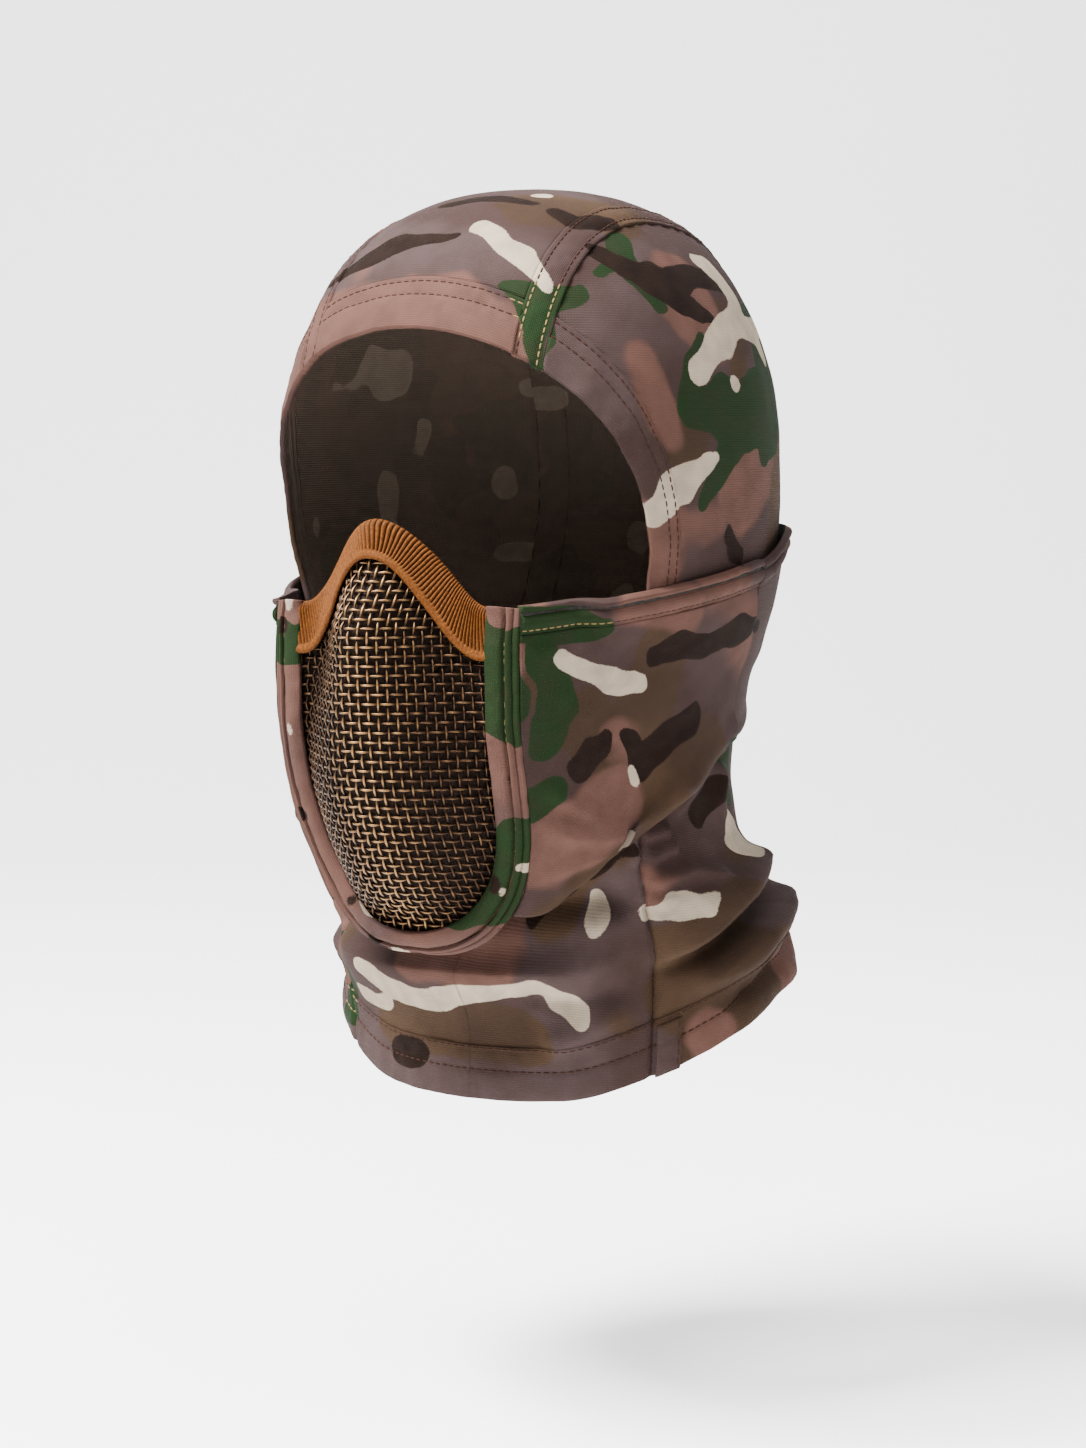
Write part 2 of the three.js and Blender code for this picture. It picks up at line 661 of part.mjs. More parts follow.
/** Top and bottom edges of the cover's back panel by the angle from the face. */
const backTop = [[wingAngle, coverTopSideZ], [128, coverTopBackZ - 1.5], [180, coverTopBackZ]];
const backLow = [[wingAngle, coverLowSideZ], [135, coverLowBackZ - 2], [180, coverLowBackZ]];
const backTopZ = (angle) => through(backTop, fold(angle));
const backLowZ = (angle) => through(backLow, fold(angle));

/** The left wing's inner face: s from the mask to the back panel, t from the top edge to the bottom. */
function wingFace(s, t) {
  const { at, out, up } = edgeStation(1 - t * (0.5 - wingLowShare));
  const start = at.addScaledVector(out, wingStart).addScaledVector(up, -pipingSetBack);
  const end = formPoint(wingAngle - gapAngle, lerp(coverTopSideZ, coverLowSideZ, t), coverLift);
  const reach = start.distanceTo(end);
  const leave = out.clone().multiplyScalar(0.3).add(vector(0, 0.95, 0)).multiplyScalar(0.6 * reach);
  const arrive = vector(-0.05, 1, lerp(0.12, 0.3, t)).multiplyScalar(0.8 * reach);
  const [s2, s3] = [s * s, s * s * s];
  const p = start.multiplyScalar(2 * s3 - 3 * s2 + 1)
    .addScaledVector(leave, s3 - 2 * s2 + s)
    .addScaledVector(end, 3 * s2 - 2 * s3)
    .addScaledVector(arrive, s3 - s2);
  const drape = onForm(p, coverLift);
  const axis = vector(0, axisAt(p.z), p.z);
  return p.distanceTo(axis) < drape.distanceTo(axis) ? drape : p;
}

function wingStation(s, t) {
  const h = 0.004;
  const at = wingFace(s, t);
  const along = wingFace(Math.min(s + h, 1), t).sub(wingFace(Math.max(s - h, 0), t)).normalize();
  const out = wingFace(s, t - h).sub(wingFace(s, t + h));
  out.addScaledVector(along, -out.dot(along)).normalize();
  const up = along.clone().cross(out).normalize();
  return { at, out, up };
}

const mirrored = (side, p) => vector(side * p.x, p.y, p.z);

/** Share of the wing's height that its top hem takes. */
function hemShare(s) {
  return (tunnelHeight + seamGap) / wingFace(s, 0).distanceTo(wingFace(s, 1));
}

function coverWing(side) {
  return shell(wingSteps, 10, (outer, s, t) => {
    const place = alongWing(s);
    const { at, up } = wingStation(place, lerp(hemShare(place), 1, t));
    return mirrored(side, at.addScaledVector(up, outer * jersey));
  });
}

function tunnelProfile() {
  const tunnel = tunnelDepth - 2 * tunnelWall;
  const leaf = foldedProfile(0, tunnelHeight - tunnelWall, 0, tunnel, tunnelWall);
  return leaf.map(([out, up]) => [out, up + tunnelDepth / 2]);
}

function elasticProfile() {
  const low = (tunnelHeight - tunnelWall - elasticWidth) / 2;
  const high = low + elasticWidth;
  const back = (tunnelDepth - elasticThickness) / 2;
  const front = back + elasticThickness;
  return [[low, back], [high, back], [high, front], [low, front]];
}

function wingTop(side, profile) {
  const stations = Array.from({ length: wingSteps + 1 }, (_, k) => {
    const s = alongWing(k / wingSteps);
    const { at, out, up } = wingStation(s, hemShare(s) - 0.002);
    return { at: mirrored(side, at), out: mirrored(side, out), up: mirrored(side, up) };
  });
  return sweep(stations, () => profile);
}

function coverBackPanel() {
  return shell(20, 6, (outer, s, t) => {
    const angle = lerp(wingAngle + gapAngle, 360 - wingAngle - gapAngle, s);
    const top = backTopZ(angle) - tunnelHeight - seamGap;
    return formPoint(angle, lerp(top, backLowZ(angle), t), coverLift + outer * jersey);
  });
}

function coverBackTop(profile) {
  const steps = 20;
  const seat = (angle) => formPoint(angle, backTopZ(angle) - tunnelHeight, coverLift);
  const stations = Array.from({ length: steps + 1 }, (_, k) => {
    const angle = lerp(wingAngle + gapAngle, 360 - wingAngle - gapAngle, k / steps);
    const at = seat(angle);
    const up = formNormal(at);
    const along = seat(angle + 1).sub(seat(angle - 1));
    const out = up.clone().cross(along).normalize();
    if (out.z < 0) out.negate();
    return { at, out, up };
  });
  return sweep(stations, () => profile);
}

// ---------------------------------------------------------------- the assembly

const cloth = (colour) => ({ color: colour, roughness: 0.85, metalness: 0 });
const looks = {
  forehead: cloth(0x97796e),
  side: cloth(0x74554a),
  seam: cloth(0x5f4a3f),
  neck: cloth(0x5e493c),
  cover: cloth(0x6e513f),
  green: cloth(0x3f5436),
  lining: cloth(0x1d130d),
  webbing: { color: 0x7a481a, roughness: 0.8, metalness: 0 },
  elastic: { color: 0x24211f, roughness: 0.9, metalness: 0 },
  foam: { color: 0x2b2826, roughness: 0.95, metalness: 0 },
  wire: { color: 0x7d6145, roughness: 0.4, metalness: 0.85 },
};

const hood = new THREE.Group();
const mask = new THREE.Group();

function add(group, name, geometry, look) {
  const mesh = new THREE.Mesh(geometry, new THREE.MeshStandardMaterial(look));
  mesh.name = name;
  group.add(mesh);
}

const fellOuter = (distance) => turnAtX(halfStrip + seamGap, distance);
const fellInner = (distance) => turnAtX(halfStrip - felledWidth - seamGap, distance);

add(hood, 'crown_panel', crownPanel(), looks.forehead);
add(hood, 'brow_hem', openingHem((d) => -fellInner(d), fellInner, 10), looks.forehead);
const chinStart = (d) => turnAtZ(neckSeamZ - seamGap, d);
add(hood, 'chin_hem', openingHem(chinStart, (d) => 2 * Math.PI - chinStart(d), 14), looks.neck);
for (const [sideName, side] of [['left', 1], ['right', -1]]) {
  add(hood, `crown_seam_${sideName}`, crownSeam(side), looks.seam);
  add(hood, `hood_side_${sideName}`, hoodSide(side), looks.side);
  const templeEnd = (d) => turnAtZ(neckSeamZ + seamGap, d);
  add(hood, `temple_hem_${sideName}`, openingHem(fellOuter, templeEnd, 12, side), looks.forehead);
}
add(hood, 'neck_front_panel', neckFrontPanel(), looks.neck);
add(hood, 'neck_back_panel', neckBackPanel(), looks.neck);
add(hood, 'neck_hem_front', neckHem(frontSpread, 12), looks.neck);
add(hood, 'neck_hem_back', neckHem(backSpread, 26), looks.neck);
add(hood, 'cover_back_panel', coverBackPanel(), looks.cover);
add(hood, 'cover_back_hem', coverBackTop(tunnelProfile()), looks.cover);
add(hood, 'cover_back_elastic', coverBackTop(elasticProfile()), looks.elastic);

for (const [sideName, side] of [['left', 1], ['right', -1]]) {
  add(mask, `face_cover_${sideName}`, coverWing(side), looks.cover);
  add(mask, `cover_hem_${sideName}`, wingTop(side, tunnelProfile()), looks.cover);
  add(mask, `cover_elastic_${sideName}`, wingTop(side, elasticProfile()), looks.elastic);
}
add(mask, 'wire_mesh', wireMesh(), looks.wire);
add(mask, 'mesh_rim', meshRim(), looks.wire);
add(mask, 'mesh_lining', meshLining(), looks.lining);
add(mask, 'nose_trim', noseTrim(), looks.webbing);
add(mask, 'nose_pad', nosePad(), looks.foam);
add(mask, 'mask_binding', maskBinding(), looks.green);
add(mask, 'edge_piping', edgePiping(), looks.cover);

const balaclava = new THREE.Group();
balaclava.add(hood, mask);

export default balaclava;
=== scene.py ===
# %% [markdown]
# # A balaclava with a wire mesh half mask
#
# A stretch-jersey hood and neck gaiter carries a cloth face cover, and the cover carries a formed
# half mask of woven steel wire. This lesson builds its looks round a finished CAD model. The CAD
# says where every piece is and how the mask moves. Here each plain CAD solid gets its cloth: the
# print, the knit, the folds, the hems and every stitch.
#
# Shapes are worked out in millimetres and turned into metres when they become meshes.

import bmesh
import bpy
import numpy as np
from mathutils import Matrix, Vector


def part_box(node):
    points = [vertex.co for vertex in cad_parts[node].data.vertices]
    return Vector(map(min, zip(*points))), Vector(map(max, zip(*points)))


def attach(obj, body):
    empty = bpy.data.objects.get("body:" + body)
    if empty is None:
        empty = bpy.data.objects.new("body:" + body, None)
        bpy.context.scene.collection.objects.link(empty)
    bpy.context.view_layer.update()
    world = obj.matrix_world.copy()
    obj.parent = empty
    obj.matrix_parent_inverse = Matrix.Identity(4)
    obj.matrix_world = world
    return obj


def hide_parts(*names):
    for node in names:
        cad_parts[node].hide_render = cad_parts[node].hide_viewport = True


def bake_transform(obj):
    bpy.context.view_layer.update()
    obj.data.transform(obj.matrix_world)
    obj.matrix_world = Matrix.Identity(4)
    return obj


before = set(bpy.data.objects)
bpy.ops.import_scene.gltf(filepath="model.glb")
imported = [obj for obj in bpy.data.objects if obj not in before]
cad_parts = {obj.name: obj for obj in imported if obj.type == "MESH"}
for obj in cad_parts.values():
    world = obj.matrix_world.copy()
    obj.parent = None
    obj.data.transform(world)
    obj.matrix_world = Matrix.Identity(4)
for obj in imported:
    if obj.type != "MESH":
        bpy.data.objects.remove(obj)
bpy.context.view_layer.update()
MM = 0.001


def cad_box(node):
    """A CAD node's lowest and highest corner, in millimetres."""
    low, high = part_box(node)
    return np.array(low) / MM, np.array(high) / MM


# %% [markdown]
# ## The head and neck form
#
# Every panel lies on one smooth form: a head that runs down into a neck. A level of the form is a
# superellipse, and the levels change smoothly from the crown to the hem. Because the form is a
# formula, a panel is a piece of it, and a fold is a small move along its normal.

# %% Driving sizes, taken from the CAD where it has them
JERSEY = 1.2  # one layer of cloth
DOUBLED = 2.0  # a felled seam or a turned hem
GAP = -0.4  # neighbours lap by this much under a seam, so that no light comes through it
HEAD_AXIS_Y = 6.0
NECK_AXIS_Y = 8.0
NECK_SEAM_Z = -155.0
WIDEST_Z = -101.5
CROWN_HEIGHT = -WIDEST_Z
HEAD_HALF = round(cad_box("hood_side_left")[1][0] - JERSEY, 1)
HEAD_FRONT = 90.5
HEAD_BACK = round(cad_box("crown_panel")[1][1] - JERSEY - HEAD_AXIS_Y, 1)
NECK_HALF, NECK_FRONT, NECK_BACK = 62.5, 66.0, 62.0
HEM_Z = round(cad_box("neck_hem_front")[0][2], 1)
HEM_HALF, HEM_FRONT, HEM_BACK, HEM_AXIS_Y = 80.0, 58.0, 78.0, 22.0
HEM_RISE = 42.0
NECK_HEM_WIDTH = 18.0
BROW_POWER, BACK_POWER, DOME_POWER = 2.35, 2.1, 2.45
print("head half width and back:", HEAD_HALF, HEAD_BACK, "hem height:", HEM_Z)


# %% Smooth curves through a few stations
def through(stations, place):
    """A smooth value through stations (place, value): cubic pieces whose slope at a station is the
    harmonic mean of its two neighbours' slopes, and nothing at the ends, so it never overshoots."""
    x, y = np.array(sorted(map(tuple, stations)), float).T
    chord = np.diff(y) / np.diff(x)
    product = chord[:-1] * chord[1:]
    total = np.where(product > 0, chord[:-1] + chord[1:], 1.0)
    slope = np.zeros(len(x))
    slope[1:-1] = np.where(product > 0, 2 * product / total, 0.0)
    place = np.clip(place, x[0], x[-1])
    k = np.clip(np.searchsorted(x, place, side="right") - 1, 0, len(x) - 2)
    width = x[k + 1] - x[k]
    t = (place - x[k]) / width
    rise = (3 - 2 * t) * t * t
    bend = width * t * (1 - t) * ((1 - t) * slope[k] - t * slope[k + 1])
    return y[k] * (1 - rise) + y[k + 1] * rise + bend


def solve(test, low, high):
    """Where a rising test function reaches zero, found by halving the range 40 times."""
    low, high = low + 0 * test(low), high + 0 * test(low)
    for _ in range(40):
        middle = (low + high) / 2
        below = test(middle) < 0
        low, high = np.where(below, middle, low), np.where(below, high, middle)
    return (low + high) / 2


def mix(a, b, t):
    """From a to b by the share t."""
    return a + (b - a) * t


def unit(v):
    """Each vector shortened or stretched to length 1."""
    return v / np.maximum(np.linalg.norm(v, axis=-1, keepdims=True), 1e-9)


def vec(x, y, z):
    """Points from three coordinates, each a number or an array."""
    return np.stack(np.broadcast_arrays(x, y, z), -1).astype(float)


# %% The form
def gaiter_level(z, share):
    """A level of the gaiter: share 0 is the narrow neck and 1 is the hem."""
    neck = np.array([NECK_HALF, NECK_FRONT, NECK_BACK, NECK_AXIS_Y])
    hem = np.array([HEM_HALF, HEM_FRONT, HEM_BACK, HEM_AXIS_Y])
    return [z, *mix(neck, hem, share)]


LEVELS = np.array([  # height, half width, front, back and axis, from the widest level to the hem
    [WIDEST_Z, HEAD_HALF, HEAD_FRONT, HEAD_BACK, HEAD_AXIS_Y],
    [-135, HEAD_HALF - 3.5, HEAD_FRONT - 3, HEAD_BACK - 9, HEAD_AXIS_Y],
    [-165, HEAD_HALF - 11, HEAD_FRONT - 12, NECK_BACK + 4, HEAD_AXIS_Y + 1],
    gaiter_level(-195, 0), gaiter_level(-218, 0.12), gaiter_level(-235, 0.5),
    gaiter_level(-255, 0.88), gaiter_level(HEM_Z, 1),
])


def level_value(column, z):
    return through(LEVELS[:, [0, column]], z)


def axis_at(z):
    """How far back the form's axis lies at a height."""
    return level_value(4, z)


def form_radius(angle, z):
    """Distance from the axis: the superellipse's radius (|sin|/side)^p + (|cos|/front or back)^p
    = r^-p, shrunk above the widest level by (1 - climb^q)^(1/q)."""
    forward = np.cos(angle)
    front = through([(WIDEST_Z, BROW_POWER), (NECK_SEAM_Z, 2)], z)
    power = np.where(forward > 0, front, BACK_POWER)
    along = np.where(forward > 0, level_value(2, z), level_value(3, z))
    across = np.abs(np.sin(angle)) / level_value(1, z)
    level = (across**power + (np.abs(forward) / along)**power)**(-1 / power)
    climb = np.clip((z - WIDEST_Z) / CROWN_HEIGHT, 0, 1)
    return level * (1 - climb**DOME_POWER)**(1 / DOME_POWER)


def angle_of(p):
    """A point's angle round the axis, 0 at the face."""
    return np.arctan2(p[..., 0], axis_at(p[..., 2]) - p[..., 1])


def form_ratio(p):
    """How far out a point lies: 1 on the form, more outside it."""
    z, angle = p[..., 2], angle_of(p)
    plan = np.hypot(p[..., 0], p[..., 1] - axis_at(z))
    low = plan / form_radius(angle, np.minimum(z, WIDEST_Z))
    climb = np.maximum(z - WIDEST_Z, 0) / CROWN_HEIGHT
    return np.where(z < WIDEST_Z, low, (low**DOME_POWER + climb**DOME_POWER)**(1 / DOME_POWER))


def form_normal(p):
    """The form's outward normal: the slope of form_ratio along each axis."""
    step = np.eye(3) * 0.4
    return unit(np.stack([form_ratio(p + d) - form_ratio(p - d) for d in step], -1))


def on_form(p, lift=0.0):
    """The point carried straight in or out to the form, then lifted off it."""
    z = np.minimum(p[..., 2], WIDEST_Z)
    centre = vec(0, axis_at(z), z)
    on = centre + (p - centre) / form_ratio(p)[..., None]
    return on + form_normal(on) * np.asarray(lift)[..., None]


def form_point(degrees, z, lift=0.0):
    """The form's point at an angle in degrees from the face and at a height."""
    angle = np.radians(degrees)
    r = form_radius(angle, z)
    on = vec(r * np.sin(angle), axis_at(z) - r * np.cos(angle), z)
    return on + form_normal(on) * np.asarray(lift)[..., None]


print("form at the ear, mm:", np.round(form_point(90.0, WIDEST_Z), 1))
# %% [markdown]
# ## Cloth from a grid
#
# A panel is a grid of points. `make_mesh` turns the grid into a mesh with one face for each cell,
# gives it a UV map in centimetres of cloth, and stores the print on its points. Solidify then gives
# the sheet its thickness, and its second material slot shows the cloth's reverse.


# %% Grids to meshes
def grid(columns, rows):
    """Two arrays of parameters from 0 to 1: s along the columns and t down the rows."""
    return np.meshgrid(np.linspace(0, 1, columns + 1), np.linspace(0, 1, rows + 1))


def grid_faces(rows, columns, loop):
    """Corner numbers of each cell. A looped grid joins its last column to its first."""
    number = np.arange(rows * columns).reshape(rows, columns)
    if loop:
        number = np.concatenate([number, number[:, :1]], 1)
    corners = [number[:-1, :-1], number[:-1, 1:], number[1:, 1:], number[1:, :-1]]
    return np.stack(corners, -1).reshape(-1, 4)


def make_mesh(name, points, faces, uv=None, fields=None):
    """A smooth-shaded object from points in millimetres and a list of faces."""
    mesh = bpy.data.meshes.new(name)
    mesh.from_pydata((points.reshape(-1, 3) * MM).tolist(), [], faces)
    mesh.shade_smooth()
    corner = np.empty(len(mesh.loops), int)
    mesh.loops.foreach_get("vertex_index", corner)
    if uv is not None:
        flat_uv = uv.reshape(-1, 2)[corner].astype(np.float32)
        mesh.uv_layers.new(name="cloth").data.foreach_set("uv", flat_uv.ravel())
    for title, value in (fields or {}).items():
        layer = mesh.attributes.new(title, "FLOAT_VECTOR", "POINT")
        layer.data.foreach_set("vector", value.reshape(-1, 3).astype(np.float32).ravel())
    piece = bpy.data.objects.new(name, mesh)
    bpy.context.scene.collection.objects.link(piece)
    return piece


def face_outwards(piece, outward):
    """Turns all faces round if their mean direction is against the outward one at each face."""
    mesh = piece.data
    normal = np.empty((len(mesh.polygons), 3), np.float32)
    centre = np.empty((len(mesh.polygons), 3), np.float32)
    mesh.polygons.foreach_get("normal", normal.ravel())
    mesh.polygons.foreach_get("center", centre.ravel())
    if (normal * outward(centre / MM)).sum() < 0:
        mesh.flip_normals()


def close_outwards(piece):
    """A closed shell's faces point out when its signed volume is above zero."""
    shape = bmesh.new()
    shape.from_mesh(piece.data)
    bmesh.ops.remove_doubles(shape, verts=shape.verts, dist=1e-6)
    bmesh.ops.recalc_face_normals(shape, faces=shape.faces)
    if shape.calc_volume(signed=True) < 0:
        bmesh.ops.reverse_faces(shape, faces=shape.faces)
    shape.to_mesh(piece.data)
    shape.free()
    piece.data.shade_smooth()


# %% [markdown]
# ## Smooth noise
#
# The print's edges and the small waves of the hems need a noise that is the same in every run. A
# fixed table of random numbers on a lattice, blended smoothly between its points, gives that.

# %% Noise
LATTICE = np.random.default_rng(7).uniform(-1, 1, (32, 32, 32))


def noise(p, size, shift=0.0):
    """Value noise from -1 to 1: the lattice's eight nearest values, blended by 3t^2 - 2t^3."""
    q = np.asarray(p, float) / size + shift
    cell = np.floor(q).astype(int)
    t = q - cell
    t = t * t * (3 - 2 * t)
    total = 0
    for corner in np.ndindex(2, 2, 2):
        weight = np.prod(np.where(np.array(corner) == 1, t, 1 - t), -1)
        i, j, k = np.moveaxis((cell + corner) % 32, -1, 0)
        total = total + weight * LATTICE[i, j, k]
    return total


def smooth(value, low, high):
    """A smooth step from 0 at low to 1 at high."""
    t = np.clip((value - low) / (high - low), 0, 1)
    return t * t * (3 - 2 * t)


# %% [markdown]
# ## The camouflage print
#
# The print has soft grounds of mauve, khaki and dusty pink, and crisp blobs of green, dark brown
# and off-white over them. Each blob is a chain of balls laid on the form, as (angle from
# the face in degrees, height in mm, radius in mm). The distance to its edge, in millimetres, is
# stored on the points, and the shader cuts it at zero, so an edge is crisp at any mesh size. Noise
# draws the rest of the pattern on the right side and the back.

# %% Blobs laid on the form
GREEN = [
    [(22, -33, 2), (29, -39, 6), (31, -48, 5), (31, -58, 2.5)], [(30, -40, 6), (40, -38, 3.5)],
    [(46, -31, 2), (58, -19, 4), (57, -29, 6), (64, -40, 3.5)],
    [(106, -34, 4), (114, -46, 8), (112, -60, 9)], [(76, -50, 3), (72, -58, 5), (66, -71, 4)],
    [(68, -72, 5), (80, -72, 10), (98, -72, 12), (120, -66, 14), (126, -50, 12), (122, -38, 6)],
    [(94, -76, 10), (82, -86, 6), (73, -101, 4)], [(112, -78, 10), (104, -86, 6)],
    [(24, -138, 7), (36, -139, 6), (46, -139, 4)],
    [(21, -140, 7), (22, -166, 8)], [(31, -146, 5), (34, -165, 6.5), (31, -177, 4)],
    [(31, -188, 3), (27, -196, 4)], [(20, -206, 5), (21, -216, 5), (17, -230, 5)],
    [(-57, -254, 5), (-50, -263, 4), (-57, -277, 6)], [(99, -184, 6), (105, -200, 5)],
    [(-24, -136, 5), (-27, -148, 6), (-24, -160, 4)],
]
BROWN = [
    [(-33, -31, 3), (-22, -24, 5), (-12, -20, 5), (4, -17, 2.2)],
    [(-16, -6, 3), (-3, -5, 4), (10, -5, 4), (28, -7, 2.5)], [(36, -10, 3), (44, -14, 4.5), (56, -14, 3)],
    [(44, -22, 2), (54, -27, 5), (64, -31, 7), (80, -41, 4.5), (85, -43, 2.5)],
    [(70, -32, 5), (86, -29, 4), (104, -31, 3)], [(83, -114, 3.5), (90, -118, 3.5)],
    [(60, -150, 3.5), (68, -147, 5.5), (77, -148, 4.5), (88, -144, 5), (103, -142, 4)],
    [(52, -177, 4), (56, -184, 5), (66, -178, 6), (78, -170, 4)],
    [(38, -184, 4.5), (42, -178, 4), (46, -174, 1.8)],
    [(44, -221, 3), (54, -213, 3)], [(25, -238, 3), (37, -226, 3)], [(-28, -286, 5), (-21, -286, 5)],
    [(84, -203, 5), (92, -197, 5.5)], [(-13, -235, 5), (-19, -228, 4)],
]
WHITE = [
    [(11, -15, 3), (20, -19, 4.5), (27, -25, 4.5), (33, -35, 2.6)], [(33, -4, 3)],
    [(93, -24, 2.5), (102, -28, 4.5), (106, -36, 5), (98, -44, 5.5), (84, -51, 5.5), (73, -60, 4.5)],
    [(98, -43, 5), (112, -46, 5.5), (122, -45, 3)], [(112, -46, 5), (117, -55, 2.5)], [(89, -63, 3.6)],
    [(56, -104, 4.5), (62, -97, 6), (70, -91, 4.5), (77, -87, 1.8)],
    [(36, -149, 3.6), (41, -153, 3.2), (48, -156, 4.6), (56, -158, 3.4)], [(53, -186, 1.6), (54, -189, 1.8)],
    [(-37, -259, 3), (-28, -265, 4.5), (-12, -266, 5), (2, -262, 4), (16, -259, 3), (25, -259, 3.5),
     (37, -268, 4)],
    [(-32, -270, 3), (-44, -268, 3)], [(41, -239, 3), (46, -232, 3.5)],
    [(56, -235, 2), (63, -232, 4.5), (71, -234, 4), (77, -231, 2)], [(100, -211, 6), (108, -219, 6)],
]
KHAKI = [
    [(30, -8, 14), (60, -12, 10)], [(66, -84, 10), (74, -72, 6)], [(40, -170, 12), (48, -186, 9)],
    [(-30, -275, 10), (0, -274, 12), (20, -277, 9)], [(84, -238, 12), (64, -262, 14), (100, -262, 16)],
    [(44, -215, 8), (30, -236, 8)], [(84, -180, 9), (66, -190, 5)], [(96, -44, 9), (86, -100, 5)],
]
PINK = [
    [(-50, -62, 16), (-20, -45, 13), (10, -40, 12), (26, -52, 7)], [(54, -58, 6), (56, -68, 8), (61, -80, 6)],
    [(88, -100, 13), (104, -88, 11)], [(48, -193, 9), (38, -202, 11), (28, -214, 8)],
    [(68, -136, 8), (54, -131, 9)],
    [(10, -252, 9), (-16, -250, 9)], [(58, -112, 6), (62, -122, 6)], [(16, -178, 7), (17, -190, 7)],
    [(70, -276, 8)], [(-26, -180, 9), (-24, -200, 8)],
]


def blob_field(p, chains):
    """Distance inside the nearest blob's edge. A chain is the union of cones between its balls, and
    a point's depth in a cone is the radius at its nearest place less the distance to that place."""
    best = np.full(p.shape[:-1], -60.0)
    for chain in chains:
        angle, height, radius = np.array(chain, float).T
        ball = form_point(angle, height)
        for k in range(max(len(chain) - 1, 1)):
            last = min(k + 1, len(chain) - 1)
            along = ball[last] - ball[k]
            t = np.clip(((p - ball[k]) @ along) / max(along @ along, 1e-9), 0, 1)
            gap = np.linalg.norm(p - ball[k] - t[..., None] * along, axis=-1)
            best = np.maximum(best, mix(radius[k], radius[last], t) - gap)
    return best


# %% The print's fields
HAND_SIDE = unit(np.array([np.sin(np.radians(31)), -np.cos(np.radians(31)), 0.1]))


def print_fields(p, shift=0.0):
    """Fields in mm for a point of the flat cloth, above zero inside a colour. Noise bends the
    point first, so that no edge is a clean arc. shift moves the noise from panel to panel."""
    bend = np.stack([noise(p, 11, k + 0.37 + shift) for k in (0, 5, 9)], -1) * 2.2
    bend = bend + np.stack([noise(p, 4.5, k + 0.61) for k in (2, 6, 12)], -1) * 0.7
    q = p + bend
    centre = vec(0, axis_at(np.minimum(p[..., 2], WIDEST_Z)), np.minimum(p[..., 2], WIDEST_Z))
    by_hand = smooth(unit(p - centre) @ HAND_SIDE, -0.22, 0.02) * 40

    def field(chains, size, level, seed):
        stretched = q * np.array([1.0, 1.0, 1.35])
        drawn = (noise(stretched, size, seed + shift) - level) * size * 0.9 - by_hand
        return np.maximum(blob_field(q, chains), drawn)

    green = field(GREEN, 24, 0.30, 3.1)
    brown = field(BROWN, 17, 0.48, 8.7)
    white = field(WHITE, 16, 0.50, 14.3)
    spread = (noise(q, 30, 21.9 + shift) - 0.05) * 24
    khaki = np.maximum(blob_field(q, KHAKI), spread - by_hand * 0.2)
    pink = np.maximum(blob_field(q, PINK), (noise(q, 34, 27.3 + shift) - 0.16) * 26 - by_hand * 0.2)
    tone = noise(q, 22, 33.3 + shift)
    return {"print": np.stack([green, brown, white], -1), "ground": np.stack([khaki, pink, tone], -1)}


def cloth_uv(p):
    """Centimetres of cloth round the head and down it, from the point's angle and height."""
    angle = np.arctan2(p[..., 0], axis_at(p[..., 2]) - p[..., 1]) % (2 * np.pi)
    return np.stack([angle * HEAD_HALF, p[..., 2]], -1) / 10
# %% [markdown]
# ## Materials
#
# Effects that several finishes share are node groups, built once: the knit of the jersey and the
# cut of the print's colours. A soft mottling is added in each jersey finish. A group hands out only
# colours and heights. The Principled shader stays in each material, with its sheen and gloss set on
# its own sockets.


# %% Node helpers
def colour(red, green, blue):
    """A linear colour from the 0 to 255 values of a swatch."""
    swatch = np.array([red, green, blue]) / 255
    linear = np.where(swatch <= 0.04045, swatch / 12.92, ((swatch + 0.055) / 1.055)**2.4)
    return (*linear.tolist(), 1.0)


def new_group(title, inputs, outputs):
    """A node group with its input and output nodes."""
    group = bpy.data.node_groups.new(title, "ShaderNodeTree")
    for name, kind in inputs:
        group.interface.new_socket(name=name, in_out="INPUT", socket_type=f"NodeSocket{kind}")
    for name, kind in outputs:
        group.interface.new_socket(name=name, in_out="OUTPUT", socket_type=f"NodeSocket{kind}")
    return group, group.nodes.new("NodeGroupInput"), group.nodes.new("NodeGroupOutput")


def plug(tree, socket, value):
    """Feeds a socket from another node's output, or sets its value."""
    if isinstance(value, bpy.types.NodeSocket):
        tree.links.new(value, socket)
    else:
        socket.default_value = value


def maths(tree, operation, *values):
    """A maths node's result."""
    node = tree.nodes.new("ShaderNodeMath")
    node.operation = operation
    for socket, value in zip(node.inputs, values):
        plug(tree, socket, value)
    return node.outputs[0]


def blend_colour(tree, factor, first, second):
    """A mix of two colours by a factor."""
    node = tree.nodes.new("ShaderNodeMix")
    node.data_type = "RGBA"
    for socket, value in ((node.inputs[0], factor), (node.inputs[6], first), (node.inputs[7], second)):
        plug(tree, socket, value)
    return node.outputs[2]


def ramp(tree, value, low, high):
    """A smooth step from 0 at low to 1 at high."""
    node = tree.nodes.new("ShaderNodeMapRange")
    node.interpolation_type = "SMOOTHSTEP"
    for socket, given in zip(node.inputs[:3], (value, low, high)):
        plug(tree, socket, given)
    return node.outputs[0]


def noise_node(tree, vector, scale, detail=3.0):
    node = tree.nodes.new("ShaderNodeTexNoise")
    node.inputs["Scale"].default_value = scale
    node.inputs["Detail"].default_value = detail
    if vector is not None:
        tree.links.new(vector, node.inputs["Vector"])
    return node.outputs["Fac"]


